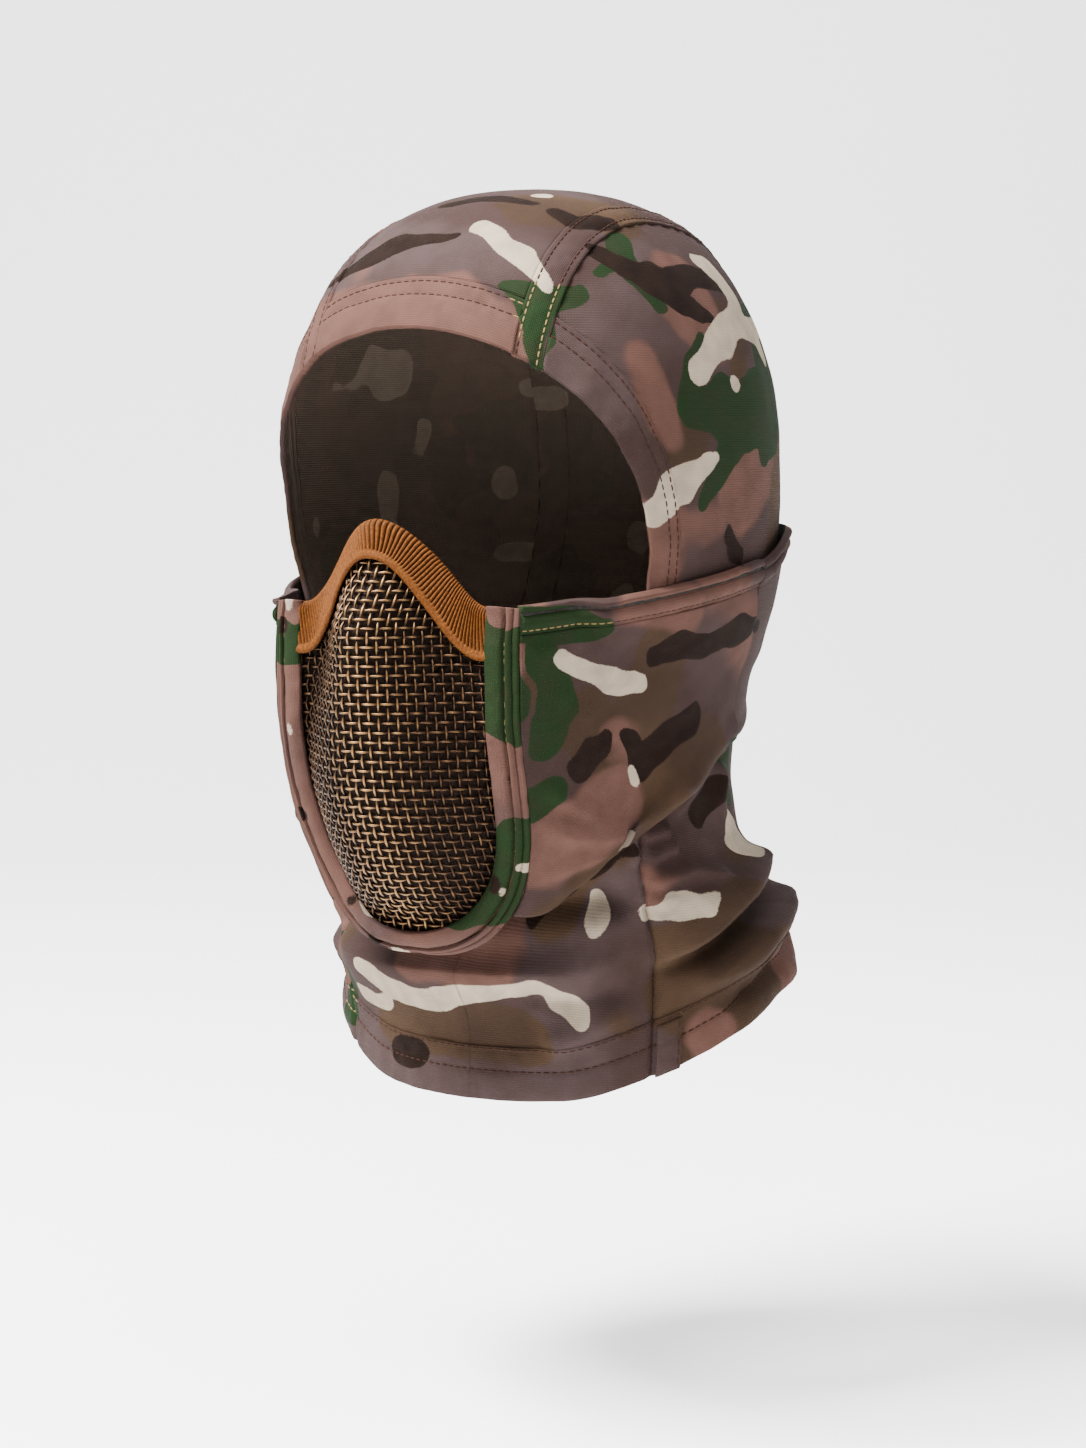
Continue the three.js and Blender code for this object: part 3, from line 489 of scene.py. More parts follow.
# %% Shared effects
def knit_group():
    """Jersey knit: rows of small V stitches. Height is the product of a sine across the wales and
    one down the courses, slanted either way by turns, with a little noise for the yarn's fuzz. The
    second output is painted shade: it darkens the hollows between the loops."""
    sockets = [("Cloth", "Vector"), ("Wales per cm", "Float")]
    group, given, out = new_group("Jersey knit", sockets, [("Height", "Float"), ("Groove shade", "Float")])
    split = group.nodes.new("ShaderNodeSeparateXYZ")
    group.links.new(given.outputs["Cloth"], split.inputs[0])
    turn = maths(group, "MULTIPLY", given.outputs["Wales per cm"], 2 * np.pi)
    across = maths(group, "MULTIPLY", split.outputs["X"], turn)
    down = maths(group, "MULTIPLY", split.outputs["Y"], maths(group, "MULTIPLY", turn, 1.2))
    half_turn = maths(group, "SINE", maths(group, "MULTIPLY", across, 0.5))
    slant = maths(group, "MULTIPLY", maths(group, "ABSOLUTE", half_turn), 2.2)
    wale = maths(group, "ABSOLUTE", maths(group, "SINE", across))
    course = maths(group, "SINE", maths(group, "ADD", down, slant))
    loops = maths(group, "ADD", maths(group, "MULTIPLY", wale, 0.6), maths(group, "MULTIPLY", course, 0.4))
    fuzz = noise_node(group, given.outputs["Cloth"], 26.0, 4.0)
    group.links.new(maths(group, "ADD", loops, fuzz), out.inputs["Height"])
    group.links.new(ramp(group, loops, 0.7, -0.3), out.inputs["Groove shade"])
    return group


def print_group():
    """The camouflage: three grounds with soft edges, then green, brown and white cut crisply."""
    sockets = [("Print", "Vector"), ("Ground", "Vector"), ("Ragged", "Float")]
    group, given, out = new_group("Camouflage", sockets, [("Colour", "Color")])
    prints = group.nodes.new("ShaderNodeSeparateXYZ")
    grounds = group.nodes.new("ShaderNodeSeparateXYZ")
    group.links.new(given.outputs["Print"], prints.inputs[0])
    group.links.new(given.outputs["Ground"], grounds.inputs[0])
    pale_mauve = ramp(group, grounds.outputs["Z"], -0.5, 0.5)
    mauve = blend_colour(group, pale_mauve, colour(46, 33, 31), colour(57, 45, 44))
    pale_khaki = ramp(group, grounds.outputs["Z"], -0.4, 0.6)
    khaki = blend_colour(group, pale_khaki, colour(46, 33, 24), colour(57, 42, 30))
    base = blend_colour(group, ramp(group, grounds.outputs["X"], -1.2, 1.2), mauve, khaki)
    base = blend_colour(group, ramp(group, grounds.outputs["Y"], -1.6, 1.6), base, colour(76, 52, 45))
    ragged = maths(group, "MULTIPLY", maths(group, "SUBTRACT", given.outputs["Ragged"], 0.5), 0.9)
    for field, swatch in (("X", colour(16, 33, 12)), ("Y", colour(15, 5, 2)), ("Z", colour(148, 134, 117))):
        edge = maths(group, "ADD", prints.outputs[field], ragged)
        base = blend_colour(group, ramp(group, edge, -0.22, 0.22), base, swatch)
    group.links.new(base, out.inputs["Colour"])
    return group


KNIT = knit_group()
PRINT = print_group()


def attribute(tree, name):
    """A value stored on the mesh, as a vector."""
    node = tree.nodes.new("ShaderNodeAttribute")
    node.attribute_name = name
    return node.outputs["Vector"]


def use_group(tree, group, **values):
    """A group's outputs, with its inputs fed by name."""
    node = tree.nodes.new("ShaderNodeGroup")
    node.node_tree = group
    for name, value in values.items():
        plug(tree, node.inputs[name.replace("_", " ")], value)
    return node.outputs


def finish(name, roughness, metallic=0.0, sheen=0.0, specular=0.5):
    """A new material: its node tree and its Principled shader."""
    material = bpy.data.materials.new(name)
    material.use_nodes = True
    shader = material.node_tree.nodes["Principled BSDF"]
    shader.inputs["Roughness"].default_value = roughness
    shader.inputs["Metallic"].default_value = metallic
    shader.inputs["Sheen Weight"].default_value = sheen
    shader.inputs["Sheen Roughness"].default_value = 0.6
    shader.inputs["Specular IOR Level"].default_value = specular
    return material, material.node_tree, shader


def bump(tree, shader, height, distance, strength=1.0):
    node = tree.nodes.new("ShaderNodeBump")
    node.inputs["Distance"].default_value = distance
    node.inputs["Strength"].default_value = strength
    tree.links.new(height, node.inputs["Height"])
    tree.links.new(node.outputs[0], shader.inputs["Normal"])


# %% The printed jersey and its reverse
def jersey(name, faded=0.0):
    """Printed cloth. faded is how far the print is lost in the plain yarn, as on the reverse."""
    material, tree, shader = finish(name, 0.86, specular=0.07)
    uv = tree.nodes.new("ShaderNodeUVMap")
    uv.uv_map = "cloth"
    fuzz = noise_node(tree, uv.outputs[0], 14.0, 4.0)
    fields = {"Print": attribute(tree, "print"), "Ground": attribute(tree, "ground")}
    printed = use_group(tree, PRINT, Ragged=fuzz, **fields)["Colour"]
    knit = use_group(tree, KNIT, Cloth=uv.outputs[0], Wales_per_cm=11.0)
    mottle = ramp(tree, noise_node(tree, uv.outputs[0], 1.1, 5.0), 0.3, 0.75)
    shade = blend_colour(tree, maths(tree, "MULTIPLY", mottle, 0.3), printed, colour(36, 25, 18))
    # Painted shade: the hollows of the knit are darkened towards a dark brown.
    shade = blend_colour(tree, maths(tree, "MULTIPLY", knit["Groove shade"], 0.22), shade, colour(18, 11, 7))
    if faded:
        shade = blend_colour(tree, faded, shade, colour(96, 84, 74))
    tree.links.new(shade, shader.inputs["Base Color"])
    tree.links.new(maths(tree, "ADD", 0.78, maths(tree, "MULTIPLY", fuzz, 0.15)), shader.inputs["Roughness"])
    bump(tree, shader, knit["Height"], 0.00012, 0.8)
    return material


HOOD_CLOTH = jersey("printed jersey")
REVERSE = jersey("jersey reverse", faded=0.72)


# %% Thread, webbing, wire, the dark backing in painted shade, elastic and foam
def thread_material():
    """Twisted thread: tan where the attribute says so, and dark brown elsewhere."""
    material, tree, shader = finish("thread", 0.7, specular=0.1)
    pale = tree.nodes.new("ShaderNodeSeparateXYZ")
    tree.links.new(attribute(tree, "thread"), pale.inputs[0])
    shade = blend_colour(tree, pale.outputs["X"], colour(40, 20, 12), colour(100, 82, 52))
    tree.links.new(shade, shader.inputs["Base Color"])
    return material


def webbing_material():
    """Ochre webbing: a painted highlight on the ribs' crowns and painted shade, nearly black, in the grooves.
    """
    material, tree, shader = finish("ochre webbing", 0.72, specular=0.08)
    rib = tree.nodes.new("ShaderNodeSeparateXYZ")
    tree.links.new(attribute(tree, "rib"), rib.inputs[0])
    place = tree.nodes.new("ShaderNodeTexCoord").outputs["Object"]
    yarn = noise_node(tree, place, 1400.0, 3.0)
    warm = blend_colour(tree, ramp(tree, yarn, 0.3, 0.7), colour(62, 31, 7), colour(88, 49, 12))
    # Painted light: the rib value lights the crowns and shades the grooves nearly black.
    shade = blend_colour(tree, ramp(tree, rib.outputs["X"], 0.15, 0.75), colour(28, 11, 3), warm)
    tree.links.new(shade, shader.inputs["Base Color"])
    bump(tree, shader, yarn, 0.0001, 0.6)
    return material


def wire_material():
    """Bronzed steel: brown in dips, rubbed to bright brass-grey on crowns; the crest has a painted highlight.
    """
    material, tree, shader = finish("bronzed wire", 0.38, metallic=0.9)
    place = tree.nodes.new("ShaderNodeTexCoord").outputs["Object"]
    wear_and_highlight = tree.nodes.new("ShaderNodeSeparateXYZ")
    tree.links.new(attribute(tree, "wear_and_highlight"), wear_and_highlight.inputs[0])
    spots = noise_node(tree, place, 320.0, 4.0)
    patchy = maths(tree, "MULTIPLY", maths(tree, "SUBTRACT", spots, 0.5), 1.1)
    # The sum is wear on the crowns, patchy wear and a painted highlight along the mask's crest.
    wear_and_highlight_sum = maths(tree, "ADD", wear_and_highlight.outputs["X"], patchy)
    shade = blend_colour(tree, ramp(tree, wear_and_highlight_sum, 0.1, 1.0), colour(40, 25, 15), colour(120, 90, 58))
    tree.links.new(shade, shader.inputs["Base Color"])
    tree.links.new(maths(tree, "ADD", 0.28, maths(tree, "MULTIPLY", spots, 0.3)), shader.inputs["Roughness"])
    bump(tree, shader, noise_node(tree, place, 900.0, 3.0), 0.00006, 0.5)
    return material


def plain_cloth(name, dark, light, grain, roughness):
    """Matt cloth, elastic or foam: two close colours mixed by a fine noise, which also bumps it."""
    material, tree, shader = finish(name, roughness, specular=0.08)
    place = tree.nodes.new("ShaderNodeTexCoord").outputs["Object"]
    fine = noise_node(tree, place, grain, 4.0)
    tree.links.new(blend_colour(tree, ramp(tree, fine, 0.3, 0.7), dark, light), shader.inputs["Base Color"])
    bump(tree, shader, fine, 0.0002, 0.7)
    return material


THREAD = thread_material()
WEBBING = webbing_material()
WIRE = wire_material()
# Near black: a dark backing for the mesh, darkened further as painted shade for the mask's inside.
BACKING_AND_SHADE = plain_cloth("dark backing and painted shade", colour(14, 8, 5), colour(30, 20, 14), 900.0, 0.8)
ELASTIC = plain_cloth("woven elastic", colour(26, 24, 23), colour(46, 43, 40), 1500.0, 0.85)
FOAM = plain_cloth("soft foam", colour(30, 28, 27), colour(52, 48, 45), 700.0, 0.95)
print("materials:", [m.name for m in bpy.data.materials])
# %% [markdown]
# ## Folds
#
# A knitted tube that slides down the neck gathers in rolls. A roll is a ridge along a chain of
# places: its height falls away on both sides by exp(-(distance / width)^2), with its own width
# above and below the line, so one side can be steep. The same relief moves every panel and hem of
# the gaiter, so a roll runs on across a seam.


# %% Relief
def dense(chain, count=13):
    """More places along a chain, so that the line through them keeps to a curved surface."""
    place = np.linspace(0, len(chain) - 1, count)
    return [np.interp(place, np.arange(len(chain)), column) for column in np.array(chain, float).T]


def ridge(p, line, height, above, below):
    """Height of one fold along a line of points; it fades at both ends."""
    step = np.linalg.norm(np.diff(line, axis=0), axis=1)
    start = np.concatenate([[0], np.cumsum(step)])
    nearest, side, place = np.full(p.shape[:-1], 1e9), np.zeros(p.shape[:-1]), np.zeros(p.shape[:-1])
    for k in range(len(step)):
        along = line[k + 1] - line[k]
        t = np.clip(((p - line[k]) @ along) / (along @ along), 0, 1)
        away = p - line[k] - t[..., None] * along
        gap = np.linalg.norm(away, axis=-1)
        closer = gap < nearest
        nearest = np.where(closer, gap, nearest)
        side = np.where(closer, away[..., 2], side)
        place = np.where(closer, start[k] + t * step[k], place)
    width = mix(below, above, smooth(side / np.maximum(nearest, 0.5), -0.5, 0.5))
    share = place / start[-1]
    fade = smooth(share, 0, 0.22) * smooth(1 - share, 0, 0.22)
    return height * fade * np.exp(-(nearest / width)**2)


NECK_FOLDS = [  # chain of (angle, height), how far it stands out, and its widths above and below
    ([(-70, -250), (-30, -256), (8, -254), (34, -252), (60, -246)], 8.5, 6, 13),
    ([(2, -238), (30, -234), (58, -230)], -11.0, 7, 5),
    ([(-60, -236), (-30, -240), (6, -240)], -6.0, 6, 5),
    ([(128, -222), (104, -229), (88, -234), (76, -239), (64, -246), (50, -252)], 9.5, 9, 4),
    ([(122, -234), (100, -238), (84, -243), (68, -249), (52, -255)], -5.5, 3, 3),
    ([(134, -236), (108, -243), (90, -248), (76, -254), (60, -262)], 8.0, 5, 5),
    ([(124, -250), (96, -258), (72, -266)], -3.5, 4, 4),
    ([(54, -205), (62, -209), (72, -208)], 3.0, 2.5, 2.5),
    ([(54, -213), (62, -216), (74, -213)], 4.0, 3, 2.5),
    ([(53, -220), (62, -225), (74, -223), (90, -228)], 5.0, 4, 2.5),
    ([(53, -227), (60, -231), (68, -231)], 3.4, 2.5, 2),
    ([(97, -186), (94, -200), (96, -216)], 4.0, 5, 4), ([(82, -186), (78, -196), (70, -204)], 3.2, 5, 3.5),
    ([(24, -282), (38, -274), (54, -264)], 3.6, 6, 4), ([(16, -262), (34, -263), (50, -259)], -3.2, 4, 4),
    ([(-128, -223), (-100, -230), (-80, -238), (-58, -248)], 6.5, 8, 4),
    ([(-120, -234), (-90, -242), (-64, -252)], -3.0, 3, 3),
    ([(-134, -238), (-104, -246), (-78, -256), (-60, -264)], 5.5, 5, 5),
    ([(-54, -210), (-64, -214), (-76, -211)], 2.4, 3, 3),
    ([(-53, -222), (-66, -227), (-84, -226)], 3.0, 4, 3),
    ([(118, -224), (150, -217), (186, -220), (220, -217), (242, -224)], 5.5, 8, 5),
    ([(120, -238), (152, -232), (184, -235), (214, -231), (236, -238)], 4.5, 5, 5),
    ([(146, -196), (176, -200), (206, -194)], 2.2, 7, 5),
    ([(128, -206), (156, -208), (184, -212)], 2.5, 6, 4),
]


COVER_EDGE = [(0, -242), (13, -238), (23, -229), (32, -219), (44, -208), (55, -201), (63, -194),
              (72, -189), (84, -184), (92, -181), (100, -180), (135, -170), (180, -168)]


def neck_relief(p):
    """All the gaiter's folds, a soft unevenness and gathers along the side seams. Folds that stand
    out are pressed flat under the face cover, above its lower edge."""
    total = sum(ridge(p, form_point(*dense(chain)), *shape) for chain, *shape in NECK_FOLDS)
    z = p[..., 2]
    from_seam = np.abs(np.abs(np.degrees(angle_of(p))) - side_seam_angle(z))
    gathers = np.sin(z / 1.35 + 2.0 * noise(p, 9, 2.2)) * np.exp(-(from_seam / 5)**2)
    gathers = gathers * smooth(z, -238, -226) * 0.9
    crease = -1.8 * np.exp(-(from_seam / 0.9)**2)
    waves = 0.9 * noise(p * np.array([1, 1, 1.6]), 19, 4.4) + 0.25 * noise(p, 6, 1.7)
    calm = smooth(-z, -NECK_SEAM_Z + 2, -NECK_SEAM_Z + 24)
    away = np.abs(np.degrees(angle_of(p)))
    free = smooth(through(COVER_EDGE, away) - z, -3.0, 7.0)
    total = (total + waves) * calm
    return np.where(total > 0, total * free, total) + gathers * free + crease


# %% [markdown]
# ## The face opening and the crown
#
# The opening is a loop on the form, and its turned hem is the band beside it. The crown is a strip
# that runs from that hem over the head to the nape, and a felled seam joins it to each side panel.


# %% The opening's edge
OPENING_HALF_HEIGHT, OPENING_HALF_ANGLE, OPENING_CENTRE_Z = 78.0, 56.0, -125.0
BROW_HEM_WIDTH, CHEEK_HEM_WIDTH = 19.0, 12.0
HALF_STRIP, FELLED_WIDTH = 45.0, 9.0


def opening_hem_width(turn):
    return mix(CHEEK_HEM_WIDTH, BROW_HEM_WIDTH, np.maximum(0, np.cos(turn))**1.5)


def opening_edge(turn):
    """The loop: angle = half angle x sin(turn), height = centre + half height x cos(turn)."""
    z = OPENING_CENTRE_Z + OPENING_HALF_HEIGHT * np.cos(turn)
    return form_point(OPENING_HALF_ANGLE * np.sin(turn), z)


def beside_opening(turn, distance, lift=0.0):
    """A place at a distance from the opening's edge, measured over the cloth."""
    edge = opening_edge(turn)
    along = unit(opening_edge(turn + 0.01) - opening_edge(turn - 0.01))
    away = np.cross(form_normal(edge), along)
    return on_form(edge + away * np.asarray(distance)[..., None], lift)


def turn_at_x(x, distance):
    return solve(lambda turn: beside_opening(turn, distance)[..., 0] - x, -1.2, 1.2)


def turn_at_z(z, distance):
    return solve(lambda turn: z - beside_opening(turn, distance)[..., 2], 1.2, np.pi)


# %% The crown's lines
CROWN_TOP = 180.0  # degrees of travel from the brow's level over the top to the widest level behind
TRAVEL_DOWN = 0.6  # degrees of travel for each millimetre below that
CROWN_END = CROWN_TOP + (WIDEST_Z - NECK_SEAM_Z) * TRAVEL_DOWN


def crown_point(x, travel, lift=0.0):
    """The form's point at a distance x across, at a travel over the head from the brow."""
    turn = np.radians(np.minimum(travel, CROWN_TOP))
    below = np.maximum(travel - CROWN_TOP, 0) / TRAVEL_DOWN
    y, z = HEAD_AXIS_Y - HEAD_FRONT * np.cos(turn), WIDEST_Z + HEAD_FRONT * np.sin(turn) - below
    p = vec(x, y, z)
    for _ in range(12):
        p = on_form(p)
        p[..., 0] = x
    return on_form(p, lift)


def crown_start(x, behind):
    """Travel at which the crown's cloth leaves the hem, at a distance across."""
    p = beside_opening(turn_at_x(np.abs(x), behind), behind)
    return np.degrees(np.arctan2(p[..., 2] - WIDEST_Z, HEAD_AXIS_Y - p[..., 1]))


def crown_cloth(low, high, columns, rows, behind):
    """A strip of the crown from one line across to another, as flat points and their UVs."""
    s, t = grid(columns, rows)
    x = mix(low, high, s)
    start = crown_start(x[0], behind)[None, :]
    travel = mix(start, CROWN_END - GAP * TRAVEL_DOWN, t)
    uv = np.stack([x, travel * np.radians(HEAD_FRONT)], -1) / 10
    return crown_point(x, travel), uv


# %% Sewing a sheet
def close_pole(piece):
    """Rings that shrink to a place end in one point: its copies are merged."""
    shape = bmesh.new()
    shape.from_mesh(piece.data)
    bmesh.ops.remove_doubles(shape, verts=shape.verts, dist=1e-7)
    shape.to_mesh(piece.data)
    shape.free()


def sew(name, flat, height, cloth, thickness, node, body=None, uv=None, shift=0.0, loop=False, outward=None):
    """A cloth piece: its flat grid is lifted along the form's normal (or a given one) by its
    thickness and its relief, coloured by the print, and thickened inwards by Solidify."""
    normal = form_normal(flat) if outward is None else outward
    points = flat + normal * (thickness + height)[..., None]
    faces = grid_faces(*flat.shape[:2], loop)
    uv = cloth_uv(flat) if uv is None else uv
    piece = make_mesh(name, points, faces.tolist(), uv, print_fields(flat, shift))
    if loop:
        close_pole(piece)
    face_outwards(piece, form_normal)
    wall = piece.modifiers.new("cloth thickness", "SOLIDIFY")
    wall.thickness = thickness * MM
    wall.offset = -1
    wall.material_offset = 1
    piece.data.materials.append(cloth)
    piece.data.materials.append(REVERSE)
    if body:
        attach(piece, body)
    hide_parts(node)
    return piece, points, normal


# %% [markdown]
# ## Stitches
#
# A row of topstitching is hundreds of short thread bars half sunk in the cloth. One small rounded
# bar, 32 faces, is copied along the row as whole arrays: its axes follow the row and the cloth's
# normal. Thread is tan on green cloth and dark brown on the rest.

# %% Stitch rows
STITCH_PITCH, STITCH_LENGTH, STITCH_WIDTH = 2.7, 2.1, 0.62


def stitch_shape(around=6, along=4):
    """A unit bar: rings around an ellipsoid, squared a little along its length."""
    turn = np.arange(around) / around * 2 * np.pi
    reach = np.cos(np.linspace(0.12, np.pi - 0.12, along + 1))
    girth = (1 - np.abs(reach)**3)**0.5
    ring = vec(reach[:, None], girth[:, None] * np.cos(turn), girth[:, None] * np.sin(turn))
    faces = grid_faces(along + 1, around, True).tolist()
    ends = [list(range(around)), list(range((along + 1) * around - 1, along * around - 1, -1))]
    return ring.reshape(-1, 3), faces + ends


def stitch_row(line, normal, offset=0.0):
    """Centres and axes of the stitches along a line of points, one each STITCH_PITCH."""
    length = np.concatenate([[0], np.cumsum(np.linalg.norm(np.diff(line, axis=0), axis=1))])
    count = max(int(length[-1] // STITCH_PITCH), 1)
    place = (np.arange(count) + 0.5 + offset) * length[-1] / count

    def at(distance):
        return np.stack([np.interp(distance, length, line[:, k]) for k in range(3)], -1)

    centre = at(place)
    along = unit(at(place + 1) - at(place - 1))
    up = unit(np.stack([np.interp(place, length, normal[:, k]) for k in range(3)], -1))
    side = unit(np.cross(along, up))
    return centre, along, side, np.cross(side, along)


def stitches(name, rows, body=None, fields=None, sink=0.05):
    """All the stitches of some rows as one piece. A row is (line, normal) on the cloth's face."""
    shape, faces = stitch_shape()
    parts = [stitch_row(line, normal) for line, normal in rows]
    centre, along, side, up = (np.concatenate(part) for part in zip(*parts))
    up = np.where((up * form_normal(centre)).sum(-1, keepdims=True) < 0, -up, up)
    scale = np.array([STITCH_LENGTH, STITCH_WIDTH, STITCH_WIDTH * 0.8]) / 2
    bars = sum(shape[None, :, k, None] * scale[k] * axis[:, None] for k, axis in enumerate((along, side, up)))
    points = centre[:, None] + up[:, None] * (scale[2] * 0.45 - sink) + bars
    number = np.arange(len(centre))[:, None, None] * len(shape)
    quads = (np.array(faces[:-2])[None] + number).reshape(-1, 4).tolist()
    caps = (np.array(faces[-2:])[None] + number).reshape(-1, len(faces[-1])).tolist()
    printed = print_fields(on_form(centre)) if fields is None else fields(centre)
    green = printed["print"][..., 0] > 0
    pale = np.repeat(green[:, None], len(shape), 1).astype(float)
    piece = make_mesh(name, points, quads + caps, fields={"thread": np.stack([pale] * 3, -1)})
    close_outwards(piece)
    piece.data.materials.append(THREAD)
    if body:
        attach(piece, body)
    print(f"{name}: {len(centre)} stitches")
    return piece


# %% Crown panel and crown seams
def channel(distance, row, depth=0.28, width=0.9):
    """The dimple that a stitch row pulls into a hem, by the distance from the row."""
    return -depth * np.exp(-((distance - row) / width)**2)


def hood_relief(p):
    """Slack in the stretched hood: broad soft waves only."""
    return 0.5 * noise(p, 26, 5.5) + 0.18 * noise(p, 9, 8.8)


def crown_panel():
    """The strip over the top of the head, puckered beside its two seams."""
    half = HALF_STRIP - FELLED_WIDTH - GAP
    flat, uv = crown_cloth(-half, half, 56, 190, BROW_HEM_WIDTH + GAP)
    edge = half - np.abs(flat[..., 0])
    pucker = 0.25 * np.sin(uv[..., 1] * 10 / 1.25) * np.exp(-edge / 2.5)
    height = hood_relief(flat) + pucker
    piece, _, _ = sew("crown_cloth", flat, height, HOOD_CLOTH, JERSEY, "crown_panel", "hood", uv, 0.4)


def crown_seam(side, word):
    """A felled seam: a doubled band with a rolled outer edge and two rows of stitches."""
    flat, uv = crown_cloth(HALF_STRIP - FELLED_WIDTH, HALF_STRIP, 14, 230, 0.0)
    flat = flat * np.array([side, 1, 1])
    across = np.linspace(0, FELLED_WIDTH, 15)[None, :]
    rows = (1.6, 7.2)
    crown = 0.35 * np.sin(np.pi * across / FELLED_WIDTH)**0.5 + sum(channel(across, row) for row in rows)
    pucker = 0.22 * noise(vec(uv[..., 1] * 10, across, 0), 2.4, side)
    height = hood_relief(flat) + crown - 0.25 + pucker
    name, node = f"crown_seam_cloth_{word}", f"crown_seam_{word}"
    _, points, normal = sew(name, flat, height, HOOD_CLOTH, DOUBLED, node, "hood", uv, 0.4)
    lines = [(points[:, k], normal[:, k]) for k in (2, 11)]
    stitches(f"crown_seam_stitches_{word}", lines, "hood")


crown_panel()
for word, side in (("left", 1), ("right", -1)):
    crown_seam(side, word)


# %% [markdown]
# ## Side panels and the opening's hem
#
# A side panel has a curved outline all round: the crown seam, the neck seam and the hem. Rings that
# shrink from that outline to a place above the ear cover it evenly.


# %% Side panels
def side_outline(steps=330):
    """The panel's outline as a closed loop of points: crown seam, neck seam, then the hem."""
    x = HALF_STRIP + GAP
    low_z = NECK_SEAM_Z + GAP
    high = turn_at_x(x, BROW_HEM_WIDTH)
    high = turn_at_x(x, opening_hem_width(high) + GAP)
    start = crown_start(np.array([x]), opening_hem_width(high) + GAP)[0]
    t = np.linspace(0, 1, steps // 2, endpoint=False)
    seam = crown_point(x + 0 * t, mix(start, CROWN_END - GAP * TRAVEL_DOWN, t))
    low = turn_at_z(low_z, CHEEK_HEM_WIDTH + GAP)
    front = beside_opening(low, opening_hem_width(low) + GAP)
    end = crown_point(np.array(x), np.array(CROWN_END - GAP * TRAVEL_DOWN))
    t = np.linspace(0, 1, steps // 4, endpoint=False)
    neck = form_point(mix(np.degrees(angle_of(end)), np.degrees(angle_of(front)), t), low_z)
    turn = mix(low, high, t)
    hem = beside_opening(turn, opening_hem_width(turn) + GAP)
    return np.concatenate([seam, neck, hem])


def side_panel(side, word):
    outline = side_outline()
    ear = form_point(96.0, WIDEST_Z)
    t = np.linspace(0, 1, 53)[:, None, None]
    flat = on_form(mix(outline[None], ear, t)) * np.array([side, 1, 1])
    inward = np.linalg.norm(flat - flat[:1], axis=-1)
    length = np.linspace(0, 620, flat.shape[1])[None, :]
    pucker = 0.3 * np.sin(length / 1.5 + 2 * noise(flat, 14, 1.0)) * np.exp(-inward / 3.0)
    height, name, node = hood_relief(flat) + pucker, f"side_cloth_{word}", f"hood_side_{word}"
    piece, _, _ = sew(name, flat, height, HOOD_CLOTH, JERSEY, node, "hood", shift=1.9 * side, loop=True)


for word, side in (("left", 1), ("right", -1)):
    side_panel(side, word)


# %% The opening's hem
def opening_hem(name, node, start_at, end_at, columns, side=1, shift=0.0):
    """A stretch of the turned hem with two stitch rows. Its edge waves a little, as a stretched
    hem does, most at the temples."""
    s, t = grid(columns, 22)
    distances = np.linspace(0, BROW_HEM_WIDTH, 12)
    starts, ends = start_at(distances), end_at(distances)
    turn = mix(starts[0], ends[0], s)
    for _ in range(3):
        width = t * opening_hem_width(turn)
        turn = mix(np.interp(width, distances, starts), np.interp(width, distances, ends), s)
    width = opening_hem_width(turn)
    distance = t * width
    flat = beside_opening(turn, distance)
    temple = smooth(np.abs(np.sin(turn)), 0.25, 0.8)
    wave = noise(vec(turn * 80, 0, side * 30), 8, 3.3) * (0.35 + 0.9 * temple) * (1 - t)
    fine = noise(vec(turn * 80, distance * 0.5, 0), 2.6, 6.1) * 0.22
    rows = (width * 0.63, width * 0.93)
    pillow = 0.45 * np.sin(np.pi * np.clip(distance / rows[0], 0, 1))**0.6 - 0.2
    height = hood_relief(flat) + wave + fine + pillow
    height = height + channel(distance, rows[0]) + channel(distance, rows[1])
    flat = flat * np.array([side, 1, 1])
    uv = np.stack([turn * 80, distance], -1) / 10
    piece, points, normal = sew(name, flat, height, HOOD_CLOTH, DOUBLED, node, "hood", uv, shift)
    lines = [(points[k], normal[k]) for k in (14, 20)]
    stitches(f"{name}_stitches", lines, "hood")
    return piece


def seam_turn(x):
    return lambda distance: turn_at_x(x, distance)


brow_inner = seam_turn(HALF_STRIP - FELLED_WIDTH - GAP)
opening_hem("brow_hem_cloth", "brow_hem", lambda d: -brow_inner(d), brow_inner, 90, shift=0.4)
for word, side in (("left", 1), ("right", -1)):
    opening_hem(f"temple_hem_cloth_{word}", f"temple_hem_{word}", seam_turn(HALF_STRIP + GAP),
                lambda d: turn_at_z(NECK_SEAM_Z + GAP, d), 110, side, 1.9 * side)
opening_hem("chin_hem_cloth", "chin_hem", lambda d: turn_at_z(NECK_SEAM_Z - GAP, d),
            lambda d: 2 * np.pi - turn_at_z(NECK_SEAM_Z - GAP, d), 110)
# %% [markdown]
# ## The neck gaiter
#
# The gaiter is a front panel under the chin and a wide panel round the sides and the back. Two side
# seams join them, gathered a little, and a turned hem with two rows of stitches ends both.

# %% The gaiter's lines
GAITER_LENGTH = NECK_SEAM_Z - HEM_Z
SIDE_SEAM_HEM = 54.0
GAP_ANGLE = np.degrees(GAP / (2 * NECK_HALF))
CHIN_TURN = turn_at_z(NECK_SEAM_Z - GAP, CHEEK_HEM_WIDTH + GAP)
SIDE_SEAM_TOP = np.degrees(angle_of(beside_opening(CHIN_TURN, CHEEK_HEM_WIDTH + GAP))) + GAP_ANGLE


def side_seam_angle(z):
    """Where the gaiter is seamed, in degrees from the face, by height."""
    return mix(SIDE_SEAM_TOP, SIDE_SEAM_HEM, (NECK_SEAM_Z - z) / GAITER_LENGTH)


